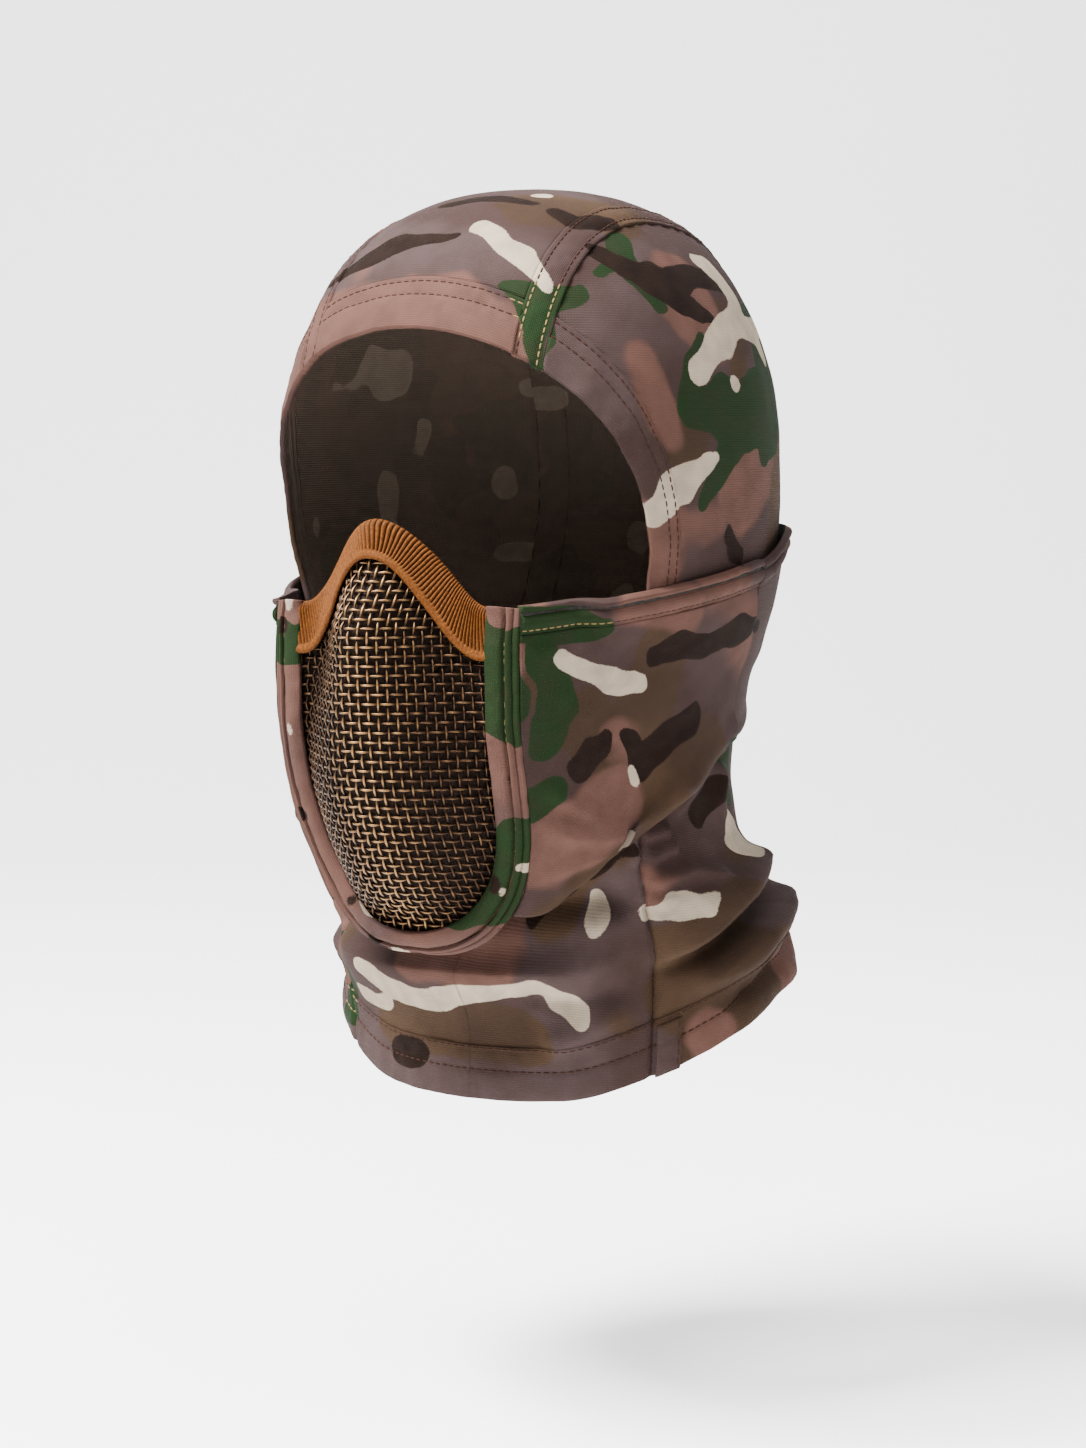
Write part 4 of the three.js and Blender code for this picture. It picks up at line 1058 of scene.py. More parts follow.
def hem_edge_z(angle):
    """Height of the hem's edge: low at the throat, rising round the sides to the back."""
    away = np.abs((angle + 180) % 360 - 180)
    climb = [(0, 0), (30, 0.03), (60, 0.3), (90, 0.69), (120, 0.88), (180, 1)]
    return HEM_Z + HEM_RISE * through(climb, away)


def back_spread(s, z):
    return mix(side_seam_angle(z) + GAP_ANGLE, 360 - side_seam_angle(z) - GAP_ANGLE, s)


def front_spread(s, z):
    return (2 * s - 1) * (side_seam_angle(z) - GAP_ANGLE)


def above_hem(spread, s, distance):
    z = HEM_Z + distance + 0 * s
    for _ in range(5):
        z = hem_edge_z(spread(s, z)) + distance
    return z


# %% Panels and hems of the gaiter
def neck_front():
    """The gaiter's front panel, from the opening's hem down to its own hem."""
    s, t = grid(140, 78)
    top = beside_opening(mix(CHIN_TURN, 2 * np.pi - CHIN_TURN, s), CHEEK_HEM_WIDTH + GAP)
    spread = side_seam_angle(top[..., 2]) - GAP_ANGLE
    top_share = np.degrees(angle_of(top)) / spread
    z = mix(top[..., 2], above_hem(front_spread, 1 - s, NECK_HEM_WIDTH + GAP), t)
    angle = mix(top_share, 1 - 2 * s, t) * (side_seam_angle(z) - GAP_ANGLE)
    flat = form_point(angle, z)
    height, node = neck_relief(flat), "neck_front_panel"
    piece, _, _ = sew("neck_front_cloth", flat, height, HOOD_CLOTH, JERSEY, node, "hood", shift=5.2)


def neck_back():
    """The gaiter's back panel, from the ring seam down to its hem."""
    s, t = grid(300, 86)
    z = mix(NECK_SEAM_Z - GAP, above_hem(back_spread, s, NECK_HEM_WIDTH + GAP), t)
    flat = form_point(back_spread(s, z), z)
    height, node = neck_relief(flat), "neck_back_panel"
    piece, _, _ = sew("neck_back_cloth", flat, height, HOOD_CLOTH, JERSEY, node, "hood", shift=6.4)


HEM_ROWS = (10.0, 16.8)


def hem_height(flat, angle, distance):
    """The turned hem's relief: two stitched channels and soft waves along its edge."""
    wave = 0.9 * noise(vec(angle, 0, 3), 13, 7.7) * np.clip(1 - distance / NECK_HEM_WIDTH, 0, 1)**0.7
    fine = 0.3 * noise(vec(angle * 1.4, distance * 0.6, 0), 3.1, 2.4)
    pillow = 0.5 * np.sin(np.pi * np.clip(distance / HEM_ROWS[0], 0, 1))**0.6 - 0.2
    return neck_relief(flat) + wave + fine + pillow + sum(channel(distance, row) for row in HEM_ROWS)


def neck_hem(word, spread, columns, shift):
    """The gaiter's turned hem on one panel, with its rows of stitches."""
    s, t = grid(columns, 22)
    distance = t * NECK_HEM_WIDTH
    z = above_hem(spread, s, distance)
    angle = spread(s, z)
    flat = form_point(angle, z)
    height = hem_height(flat, angle, distance)
    name, node = f"neck_hem_cloth_{word}", f"neck_hem_{word}"
    piece, points, normal = sew(name, flat, height, HOOD_CLOTH, DOUBLED, node, "hood", shift=shift)
    lines = [(points[round(22 * row / NECK_HEM_WIDTH)], normal[0]) for row in HEM_ROWS]
    stitches(f"neck_hem_stitches_{word}", lines, "hood")


neck_front()
neck_back()
neck_hem("front", front_spread, 140, 5.2)
neck_hem("back", back_spread, 300, 6.4)


def hem_tab():
    """The seam allowance that shows behind the left side seam, turned up over the hem and tacked."""
    s, t = grid(24, 40)
    distance = mix(-0.6, 16.0, t)
    angle = side_seam_angle(HEM_Z) + 1.0 + s * 6.2
    z = hem_edge_z(angle) + distance
    angle = side_seam_angle(z) + 1.0 + s * 6.2
    z = hem_edge_z(angle) + distance
    flat = form_point(angle, z)
    rim = np.minimum(np.minimum(s, 1 - s) * 8.5, np.minimum(t, 1 - t) * 16)
    height = hem_height(flat, angle, distance) + DOUBLED - 0.25 + 0.3 * smooth(rim, 0, 1.2)
    node = "neck_hem_back"
    _, points, normal = sew("hem_tab_cloth", flat, height, HOOD_CLOTH, 0.9, node, "hood", shift=9.5)
    stitches("hem_tab_stitches", [(points[3:-2, 21], normal[3:-2, 21])], "hood")


hem_tab()
# %% [markdown]
# ## The mask's shape
#
# The mask stands in front of the face. Its outline is straight beside the mouth and rounds in to the
# chin, and its surface rises from that edge to a crest that is sharp at the nose and round below.

# %% Outline and depth of the mask
MASK_HALF, MASK_TOP_Z, MASK_ROUND_Z, CHIN_DROP, CHIN_POWER = 35.0, -133.0, -178.5, 59.0, 2.5
CHIN_Z = MASK_ROUND_Z - CHIN_DROP
FACE_Y = HEAD_AXIS_Y - HEAD_FRONT
BRIDGE_RISE, TRIM_END, TRIM_RISE = 27.0, 16.0, 31.0
BINDING_WIDTH, CHIN_TILT = 8.6, 0.65
PIPING_RADIUS, PIPING_SET_BACK = 1.1, 1.5


def mask_width(z):
    drop = np.clip((MASK_ROUND_Z - z) / CHIN_DROP, 0, 1)
    return MASK_HALF * (1 - drop**CHIN_POWER)**(1 / CHIN_POWER)


def edge_depth(z):
    """How far back the mask's edge lies, by its drop below the mask's top ends."""
    stations = [
        (-20, 6), (0, 2.5), (12, 1), (35, 1.5), (55, 5.5),
        (75, 12.1), (88, 15.2), (98, 13.8), (104.5, 10.5), (116.5, 13),
    ]
    return FACE_Y + through(stations, MASK_TOP_Z - z)


def crest_depth(z):
    """How far forward the nose, mouth and chin stand, by the same drop."""
    stations = [
        (-27, 7.5), (-14.5, 11.5), (9.5, 24.5), (28, 23.5),
        (53, 20.5), (79, 10.5), (92, 1.5), (104.5, -10.5),
    ]
    return FACE_Y - through(stations, MASK_TOP_Z - z)


def mask_depth(x, z):
    """Edge to crest by (1 - (x / half width)^2)^sharpness; the nose is sharp and the chin round."""
    sharp = through([(0, 4.5), (12, 3.6), (32, 2), (57, 1.15), (104.5, 0.9)], MASK_TOP_Z - z)
    share = np.minimum(np.abs(x) / np.maximum(mask_width(z), 1), 1)
    return mix(edge_depth(z), crest_depth(z), (1 - share**2)**sharp)


def edge_curve(steps=400):
    """The open mesh's edge from the wearer's right top, round the chin, to the left top."""
    turn = np.linspace(0, np.pi / 2, steps)
    straight = np.linspace(MASK_TOP_Z, MASK_ROUND_Z, 60, endpoint=False)
    x = np.concatenate([np.full(60, MASK_HALF), MASK_HALF * np.cos(turn)**(2 / CHIN_POWER)])
    z = np.concatenate([straight, MASK_ROUND_Z - CHIN_DROP * np.sin(turn)**(2 / CHIN_POWER)])
    right = vec(-x, edge_depth(z), z)
    return np.concatenate([right, right[-2::-1] * np.array([-1, 1, 1])])


EDGE = edge_curve()
EDGE_LENGTH = np.concatenate([[0], np.cumsum(np.linalg.norm(np.diff(EDGE, axis=0), axis=1))])


def edge_at(share):
    place = np.asarray(share) * EDGE_LENGTH[-1]
    return np.stack([np.interp(place, EDGE_LENGTH, EDGE[:, k]) for k in range(3)], -1)


def edge_station(share):
    """The binding's frame: its edge, its outward direction in the mask's plane and its front."""
    at = edge_at(share)
    along = unit(edge_at(np.minimum(share + 0.008, 1)) - edge_at(np.maximum(share - 0.008, 0)))
    low = np.maximum(0, 1 - np.abs(at[..., 0]) / MASK_HALF) * (at[..., 2] < MASK_ROUND_Z)
    front = vec(0 * low, -1, -CHIN_TILT * low)
    front = unit(front - along * (front * along).sum(-1, keepdims=True))
    out = np.cross(along, front)
    inner = vec(at[..., 0], 0, at[..., 2] - (MASK_TOP_Z - 40))
    return at, np.where((out * inner).sum(-1, keepdims=True) < 0, -out, out), front


# %% [markdown]
# ## The face cover
#
# A wing of cloth runs from each side of the mask to a panel round the back of the head. The wing
# leaves the mask's edge outwards and back, and lands on the side of the head: a Hermite curve does
# both. Elastic in a tunnel along the top keeps the cover up. The wings, with their tunnels and
# elastic, are put on neither body and stay where they are built.

# %% Wings
COVER_LIFT = 2.8
WING_ANGLE, WING_TOP_Z, WING_LOW_Z = 100.0, -120.5, -180.0
WING_START = BINDING_WIDTH + 2 * PIPING_RADIUS + 2 * GAP
WING_LOW_SHARE = 0.12
TUNNEL_HEIGHT, TUNNEL_DEPTH = 9.0, 3.2


def wing_face(s, t):
    """The left wing's inner face: s from the mask to the back panel, t from the top to the bottom.
    A Hermite curve in s between the mask's edge and the form, kept outside the form."""
    at, out, front = edge_station(1 - t * (0.5 - WING_LOW_SHARE))
    start = at + out * WING_START - front * PIPING_SET_BACK
    end = form_point(WING_ANGLE - GAP_ANGLE, mix(WING_TOP_Z, WING_LOW_Z, t), COVER_LIFT)
    reach = np.linalg.norm(end - start, axis=-1, keepdims=True)
    leave = (out * 0.3 + np.array([0, 0.95, 0])) * 0.6 * reach
    arrive = vec(-0.05 + 0 * t, 1, mix(0.12, 0.3, t)) * 0.8 * reach
    s = np.asarray(s)[..., None]
    cube, square = s**3, s**2
    p = start * (2 * cube - 3 * square + 1) + leave * (cube - 2 * square + s)
    p = p + end * (3 * square - 2 * cube) + arrive * (cube - square)
    drape = on_form(p, COVER_LIFT)
    axis = vec(0, axis_at(p[..., 2]), p[..., 2])
    depth = np.linalg.norm(drape - axis, axis=-1) - np.linalg.norm(p - axis, axis=-1)
    return mix(p, drape, smooth(depth, -3.5, 3.0)[..., None])


def wing_station(s, t):
    h = 0.004
    along = unit(wing_face(np.minimum(s + h, 1), t) - wing_face(np.maximum(s - h, 0), t))
    up = wing_face(s, t - h) - wing_face(s, t + h)
    up = unit(up - along * (up * along).sum(-1, keepdims=True))
    return wing_face(s, t), up, np.cross(along, up)


WING_FOLDS = [  # chain of (s, t), how far it stands out, and its widths above and below
    ([(-0.05, 0.86), (0.25, 0.88), (0.55, 0.945), (0.85, 0.985)], 4.2, 13, 3.6),
    ([(0.02, 0.70), (0.22, 0.79), (0.45, 0.90)], 2.8, 5, 3),
    ([(0.06, 0.58), (0.20, 0.68), (0.34, 0.80)], 2.2, 4, 3),
    ([(0.10, 0.93), (0.32, 0.95), (0.52, 0.985)], 1.4, 3.2, 3.2),
    ([(0.0, 0.12), (0.10, 0.16), (0.2, 0.15)], 0.8, 3, 3),
    ([(0.55, 0.80), (0.75, 0.84), (0.95, 0.86)], 0.9, 6, 5),
]


def wing_relief(p, s, t):
    line = [ridge(p, wing_face(*dense(chain)), *shape) for chain, *shape in WING_FOLDS]
    low_edge = 2.6 * smooth(t, 0.82, 0.96) - 0.6 * smooth(t, 0.95, 1.0)
    waves = 0.8 * noise(p * np.array([1, 1, 1.5]), 19, 9.1) + 0.25 * noise(p, 6, 2.9)
    return (sum(line) + low_edge) * smooth(s, 0.0, 0.16) + waves


def blend_across(piece):
    """Bakes the piece's placement into its mesh; it is put on neither body."""
    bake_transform(piece)


def carry(piece, body):
    """Puts a piece on one body, or bakes it in place on neither body when no body is named."""
    if body:
        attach(piece, body)
    else:
        blend_across(piece)


def hem_share(s):
    return (TUNNEL_HEIGHT + GAP) / np.linalg.norm(wing_face(s, 0 * s) - wing_face(s, 0 * s + 1), axis=-1)


def hem_profile(steps=18):
    """The tunnel hem's section as (up the cloth, out of it): two stitched channels, the elastic's
    pillow between them and a rolled edge on top, closed by its inner face."""
    up = np.linspace(0, 1, steps)
    outer = 1.3 + 1.6 * np.sin(np.pi * np.clip((up - 0.12) / 0.56, 0, 1))**0.7
    outer = outer + 1.5 * np.sqrt(np.maximum(1 - ((up - 0.86) / 0.13)**2, 0)) * (up > 0.73)
    outer = np.minimum(outer, TUNNEL_DEPTH) * np.where(up > 0.985, 0.45, 1)
    back = np.linspace(1, 0, 6)
    section = np.concatenate([np.stack([up, outer], -1), np.stack([back, 0 * back + 0.15], -1)])
    return section * np.array([TUNNEL_HEIGHT, 1])


def tunnel_hem(name, at, up, out, node, body, shift):
    """A hem swept along its stations, puckered along its channels, with its two stitch rows."""
    section = hem_profile()
    along = np.concatenate([[0], np.cumsum(np.linalg.norm(np.diff(at, axis=0), axis=1))])
    pucker = 1 + 0.13 * noise(vec(along[:, None], section[None, :, 0] * 0.5, 4.0), 3.2, shift)
    wave = 0.7 * noise(vec(along, 0, 0), 15, 3.1 + shift)
    points = at[:, None] + up[:, None] * section[None, :, 0, None]
    proud = section[None, :, 1] * pucker + wave[:, None] * section[None, :, 0] / 12
    points = points + out[:, None] * proud[..., None]
    rows, columns = points.shape[:2]
    faces = grid_faces(rows, columns, True).tolist()
    ends = [list(range(columns)), list(range(rows * columns - 1, (rows - 1) * columns - 1, -1))]
    uv = np.stack(np.broadcast_arrays(along[:, None], section[None, :, 0]), -1) / 10
    piece = make_mesh(name, points, faces + ends, uv, print_fields(on_form(points), shift))
    close_outwards(piece)
    piece.data.materials.append(HOOD_CLOTH)
    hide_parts(node)
    threads = stitches(f"{name}_stitches", [(points[:, k], out) for k in (2, 12)])
    for made in (piece, threads):
        carry(made, body)
    return piece


def elastic_strip(node, at, up, out, body):
    """Flat elastic in the tunnel: a thin rounded section swept along the tunnel's stations."""
    turn = np.linspace(0, 2 * np.pi, 12, endpoint=False)
    section = np.stack([4.1 + 3.0 * np.cos(turn), 1.3 + 0.3 * np.sin(turn)], -1)
    points = at[:, None] + up[:, None] * section[None, :, :1] + out[:, None] * section[None, :, 1:]
    rows, columns = points.shape[:2]
    ends = [list(range(columns)), list(range(rows * columns - 1, (rows - 1) * columns - 1, -1))]
    piece = make_mesh(f"{node}_band", points, grid_faces(rows, columns, True).tolist() + ends)
    close_outwards(piece)
    piece.data.materials.append(ELASTIC)
    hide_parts(node)
    carry(piece, body)


def wing(side, word):
    """One side of the face cover: its cloth, and the tunnel and elastic along its top."""
    mirror = np.array([side, 1, 1])
    s, t = grid(120, 96)
    place = mix(hem_share(s), 1, t)
    at, _, out = wing_station(s, place)
    height = wing_relief(at, s, place)
    flat, out = at * mirror, out * mirror
    name = f"wing_cloth_{word}"
    uv = np.stack([s * 95 + 0 * place, place * 110], -1) / 10
    points = flat + out * (JERSEY + height)[..., None]
    faces = grid_faces(*flat.shape[:2], False).tolist()
    piece = make_mesh(name, points, faces, uv, print_fields(on_form(flat), side * 2.3 - 2.3))
    face_outwards(piece, form_normal)
    wall = piece.modifiers.new("cloth thickness", "SOLIDIFY")
    wall.thickness, wall.offset, wall.material_offset = JERSEY * MM, -1, 1
    piece.data.materials.append(HOOD_CLOTH)
    piece.data.materials.append(REVERSE)
    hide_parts(f"face_cover_{word}")
    blend_across(piece)
    s = np.linspace(0, 1, 110)
    at, up, out = (v * mirror for v in wing_station(s, hem_share(s) - 0.002))
    tunnel_hem(f"cover_hem_cloth_{word}", at, up, out, f"cover_hem_{word}", None, side * 2.3 - 2.3)
    elastic_strip(f"cover_elastic_{word}", at[::4], up[::4], out[::4], None)


for word, side in (("left", 1), ("right", -1)):
    wing(side, word)


# %% The cover's back panel
def cover_edge_z(angle, side, middle_station, back):
    away = np.abs((angle + 180) % 360 - 180)
    return through([(WING_ANGLE, side), middle_station, (180, back)], away)


def cover_top_z(angle):
    return cover_edge_z(angle, WING_TOP_Z, (128, -110.5), -109.0)


def cover_low_z(angle):
    return cover_edge_z(angle, WING_LOW_Z, (135, -170.0), -168.0)


def cover_back():
    """The cover behind the head: its cloth, its tunnel and its elastic."""
    s, t = grid(210, 54)
    angle = mix(WING_ANGLE + GAP_ANGLE, 360 - WING_ANGLE - GAP_ANGLE, s)
    z = mix(cover_top_z(angle) - TUNNEL_HEIGHT - GAP, cover_low_z(angle), t)
    seat = form_point(angle, z)
    flat = seat + form_normal(seat) * COVER_LIFT
    lines = [
        ([(112, -150), (146, -158), (180, -152)], 1.6, 7, 5),
        ([(186, -150), (214, -158), (246, -152)], 1.8, 7, 5),
        ([(130, -138), (180, -142), (226, -136)], 1.2, 6, 5),
    ]
    folds = sum(ridge(flat, form_point(*dense(chain)), *shape) for chain, *shape in lines)
    edge_roll = 1.0 * smooth(t, 0.9, 1.0)
    height = folds + 0.4 * noise(flat, 18, 1.3) + edge_roll
    node = "cover_back_panel"
    piece, _, _ = sew("cover_back_cloth", flat, height, HOOD_CLOTH, JERSEY, node, "hood", shift=3.3)
    angle = np.linspace(WING_ANGLE + GAP_ANGLE, 360 - WING_ANGLE - GAP_ANGLE, 190)
    seat = form_point(angle, cover_top_z(angle) - TUNNEL_HEIGHT, COVER_LIFT)
    out = form_normal(seat)
    up = unit(np.cross(out, np.gradient(seat, axis=0)))
    up = np.where(up[:, 2:] < 0, -up, up)
    tunnel_hem("cover_back_hem_cloth", seat, up, out, "cover_back_hem", "hood", 3.3)
    elastic_strip("cover_back_elastic", seat[::5], up[::5], out[::5], "hood")


cover_back()
# %% [markdown]
# ## The woven wire mesh
#
# The mesh is a plain weave. Upright wires stand a pitch apart along the surface, and level wires
# cross them. Each wire swings over one neighbour and under the next: its offset along the surface's
# normal is amplitude x cos(pi x place / pitch), turned round for every second wire, and the two
# sets swing opposite ways. The crowns that stand out are rubbed bright, and a band down the mask's
# crest is painted brighter still as a highlight.

# %% Places on the mask
MESH_PITCH, WIRE_RADIUS, WEAVE_SWING = 3.0, 0.4, 0.4


def bell(share, power):
    return (1 - np.minimum(np.abs(share), 1)**2)**power


def trim_upper(share):
    x = MASK_HALF * share
    z = MASK_TOP_Z + BRIDGE_RISE * bell(share, 2.2)
    return vec(x, mask_depth(x, z), z)


def trim_lower(share):
    size = np.abs(share) - 0.19 * np.sin(np.pi * np.abs(share))
    x = MASK_HALF * np.sign(share) * size
    z = MASK_TOP_Z - TRIM_END + TRIM_RISE * bell(size, 2.8)
    return vec(x, mask_depth(x, z), z)


def mask_forward(x, z, h=0.5):
    """The mask's outward normal, from the slopes of its depth."""
    dx = (mask_depth(x + h, z) - mask_depth(x - h, z)) / (2 * h)
    dz = (mask_depth(x, z + h) - mask_depth(x, z - h)) / (2 * h)
    return unit(vec(dx, -1, dz))


def in_mask(x, z, margin):
    """Whether a place lies within the outline, widened by a margin, and below the trim's middle."""
    share = np.linspace(-1, 1, 81)
    middle = (trim_upper(share) + trim_lower(share)) / 2
    top = np.interp(x, middle[:, 0], middle[:, 2])
    side = np.minimum(np.abs(x) / (MASK_HALF + margin), 1)
    drop = np.clip((MASK_ROUND_Z - z) / (CHIN_DROP + margin), 0, 1)
    return (side**CHIN_POWER + drop**CHIN_POWER < 1) & (np.abs(x) < MASK_HALF + margin) & (z < top)


# %% Weave
ACROSS = np.linspace(0, MASK_HALF + 4, 160)
HEIGHTS = np.linspace(CHIN_Z - 4, MASK_TOP_Z + 22, 260)
SECTION = mask_depth(ACROSS[None, :], HEIGHTS[:, None])
ARC = np.cumsum(np.hypot(np.diff(ACROSS, prepend=0), np.diff(SECTION, axis=1, prepend=SECTION[:, :1])), 1)
FLANK = mask_depth(0 * HEIGHTS + 17, HEIGHTS)
CLIMB = np.cumsum(np.hypot(np.diff(HEIGHTS, prepend=HEIGHTS[0]), np.diff(FLANK, prepend=FLANK[0])))


def weave_place(a, b):
    """From a distance across the surface and a distance up its flank to x and z."""
    z = np.interp(b, CLIMB, HEIGHTS)
    row = np.interp(z, HEIGHTS, np.arange(len(HEIGHTS)))
    low = np.minimum(row.astype(int), len(HEIGHTS) - 2)
    t = (row - low)[..., None]
    arc = mix(ARC[low], ARC[low + 1], t)
    size = np.abs(np.broadcast_to(a, z.shape))
    k = np.clip((arc < size[..., None]).sum(-1), 1, len(ACROSS) - 1)[..., None]
    before, after = np.take_along_axis(arc, k - 1, -1)[..., 0], np.take_along_axis(arc, k, -1)[..., 0]
    column = k[..., 0] - 1 + (size - before) / np.maximum(after - before, 1e-6)
    x = np.interp(column, np.arange(len(ACROSS)), ACROSS)
    return np.sign(a) * x, z, size < arc[..., -1]


def wires(name, upright, step=0.5, sides=6):
    """One set of wires as tubes. A wire leaves the mesh where it passes under the binding."""
    reach, climb = ARC[:, -1].max(), CLIMB[-1]
    travel = np.arange(0, climb, step) if upright else np.arange(-reach, reach, step)
    count = int(reach // MESH_PITCH) if upright else int(climb // MESH_PITCH)
    numbers = np.arange(-count, count + 1) if upright else np.arange(0, count + 1)
    turn = np.arange(sides) / sides * 2 * np.pi
    points, faces, wear_and_highlight, total = [], [], [], 0
    for number in numbers:
        seat = number * MESH_PITCH + 0 * travel
        x, z, known = weave_place(seat, travel) if upright else weave_place(travel, seat)
        swing = (1 if upright else -1) * np.cos(np.pi * (travel / MESH_PITCH + number))
        normal = mask_forward(x, z)
        line = vec(x, mask_depth(x, z), z) + normal * (swing * WEAVE_SWING)[:, None]
        inside = np.flatnonzero(in_mask(x, z, 2.4) & known)
        for run in np.split(inside, np.flatnonzero(np.diff(inside) > 1) + 1):
            if len(run) < 6:
                continue
            path, out = line[run], normal[run]
            along = unit(np.gradient(path, axis=0))
            side = unit(np.cross(along, out))
            front = np.cross(side, along)
            ring = np.cos(turn)[:, None] * side[:, None] + np.sin(turn)[:, None] * front[:, None]
            tube = path[:, None] + ring * WIRE_RADIUS
            points.append(tube.reshape(-1, 3))
            faces.append(grid_faces(len(run), sides, True) + total)
            crown = np.clip(0.15 + 0.85 * swing[run, None] * 0.5 + 0.5 * (ring * out[:, None]).sum(-1), 0, 1)
            # Painted highlight: wires near the mask's crest, about x = 2 mm, are made brighter; the crown
            # term is wear.
            bright = crown * (0.3 + 0.7 * np.exp(-((x[run, None] - 2) / 11)**2))
            wear_and_highlight.append(np.stack([bright.ravel()] * 3, -1))
            total += len(run) * sides
    fields = {"wear_and_highlight": np.concatenate(wear_and_highlight)}
    piece = make_mesh(name, np.concatenate(points), np.concatenate(faces).tolist(), fields=fields)
    close_tubes(piece)
    piece.data.materials.append(WIRE)
    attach(piece, "mask")
    print(f"{name}: {len(points)} wires, {len(piece.data.polygons)} faces")
    return piece


def close_tubes(piece):
    """Caps each open end of the tubes and turns all faces outwards."""
    shape = bmesh.new()
    shape.from_mesh(piece.data)
    bmesh.ops.holes_fill(shape, edges=[e for e in shape.edges if e.is_boundary], sides=8)
    bmesh.ops.recalc_face_normals(shape, faces=shape.faces)
    shape.to_mesh(piece.data)
    shape.free()
    piece.data.shade_smooth()


upright = wires("woven_wires_upright", True)
level = wires("woven_wires_level", False)
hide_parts("wire_mesh")
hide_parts("wire_mesh")


# %% The dark backing in painted shade, rim and pad
def mask_backing_and_shade():
    """A near-black sheet behind the mesh, partly a dark backing and partly painted shade for the inside of
    the mask: rings that shrink from its outline to the middle.
    """
    share = np.linspace(0.012, 0.988, 170)
    at, out, _ = edge_station(share)
    low = at + out * 2.0
    over = np.linspace(0.97, -0.97, 70)
    upper, lower = trim_upper(over), trim_lower(over)
    ring = np.concatenate([low, mix(upper, lower, 0.55)])
    heart = np.array([0, 0, MASK_ROUND_Z + 6])
    t = np.linspace(0, 1, 46)[:, None, None]
    seat = mix(ring[None], heart, t**0.9)
    x, z = seat[..., 0], seat[..., 2]
    flat = vec(x, mask_depth(x, z), z)
    back = -1.15 + 0.22 * noise(flat, 8, 2.0)
    points = flat + mask_forward(x, z) * back[..., None]
    piece = make_mesh("backing_and_shade_cloth", points, grid_faces(*points.shape[:2], True).tolist())
    close_pole(piece)
    face_outwards(piece, lambda p: np.array([0, -1, 0]) + 0 * p)
    wall = piece.modifiers.new("cloth thickness", "SOLIDIFY")
    wall.thickness, wall.offset = 0.55 * MM, -1
    piece.data.materials.append(BACKING_AND_SHADE)
    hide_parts("mesh_lining")
    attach(piece, "mask")


mask_backing_and_shade()


def sweep_mesh(name, at, out, front, section, fields=None, uv=None):
    """A closed shell swept along stations: section is (stations, points, 2) as out and front."""
    points = at[:, None] + out[:, None] * section[..., :1] + front[:, None] * section[..., 1:]
    rows, columns = points.shape[:2]
    ends = [list(range(columns)), list(range(rows * columns - 1, (rows - 1) * columns - 1, -1))]
    piece = make_mesh(name, points, grid_faces(rows, columns, True).tolist() + ends, uv, fields)
    close_outwards(piece)
    return piece, points


def bridge_stations(steps, spread):
    share = np.linspace(-spread, spread, steps)
    upper, lower = trim_upper(share), trim_lower(share)
    along = unit(np.gradient((upper + lower) / 2, axis=0))
    out = unit(upper - lower)
    front = unit(np.cross(out, along))
    front = np.where(front[:, 1:2] > 0, -front, front)
    length = np.concatenate([[0], np.cumsum(np.linalg.norm(np.diff((upper + lower) / 2, axis=0), axis=1))])
    return lower, out, front, np.linalg.norm(upper - lower, axis=-1), length


def nose_pad():
    """A soft foam strip behind the trim with round edges."""
    at, out, front, width, _ = bridge_stations(60, 0.55)
    turn = np.linspace(0, 2 * np.pi, 20, endpoint=False)
    low, high = 3.5, width[:, None] - 1
    ease = np.sign(np.cos(turn)) * np.abs(np.cos(turn))**0.6
    across = (low + high) / 2 + (high - low) / 2 * ease[None, :]
    deep = -5.25 + 2.2 * np.sign(np.sin(turn)) * np.abs(np.sin(turn))**0.7
    section = np.stack(np.broadcast_arrays(across, deep[None, :]), -1)
    piece, _ = sweep_mesh("nose_pad_foam", at, out, front, section)
    piece.data.materials.append(FOAM)
    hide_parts("nose_pad")
    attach(piece, "mask")


nose_pad()

# %% [markdown]
# ## The nose trim and the binding
#
# The webbing over the nose has ribs that run across it, each a rounded cord with a groove
# beside it, and a smooth roll along its lower edge. The grooves are painted dark as shade and the
# crowns bright as highlight. The cheeks and the chin have a binding of the printed jersey: a soft
# tube, pulled in by one row of stitches, with a piping outside it.

# %% Nose trim
RIB_PITCH = 1.3


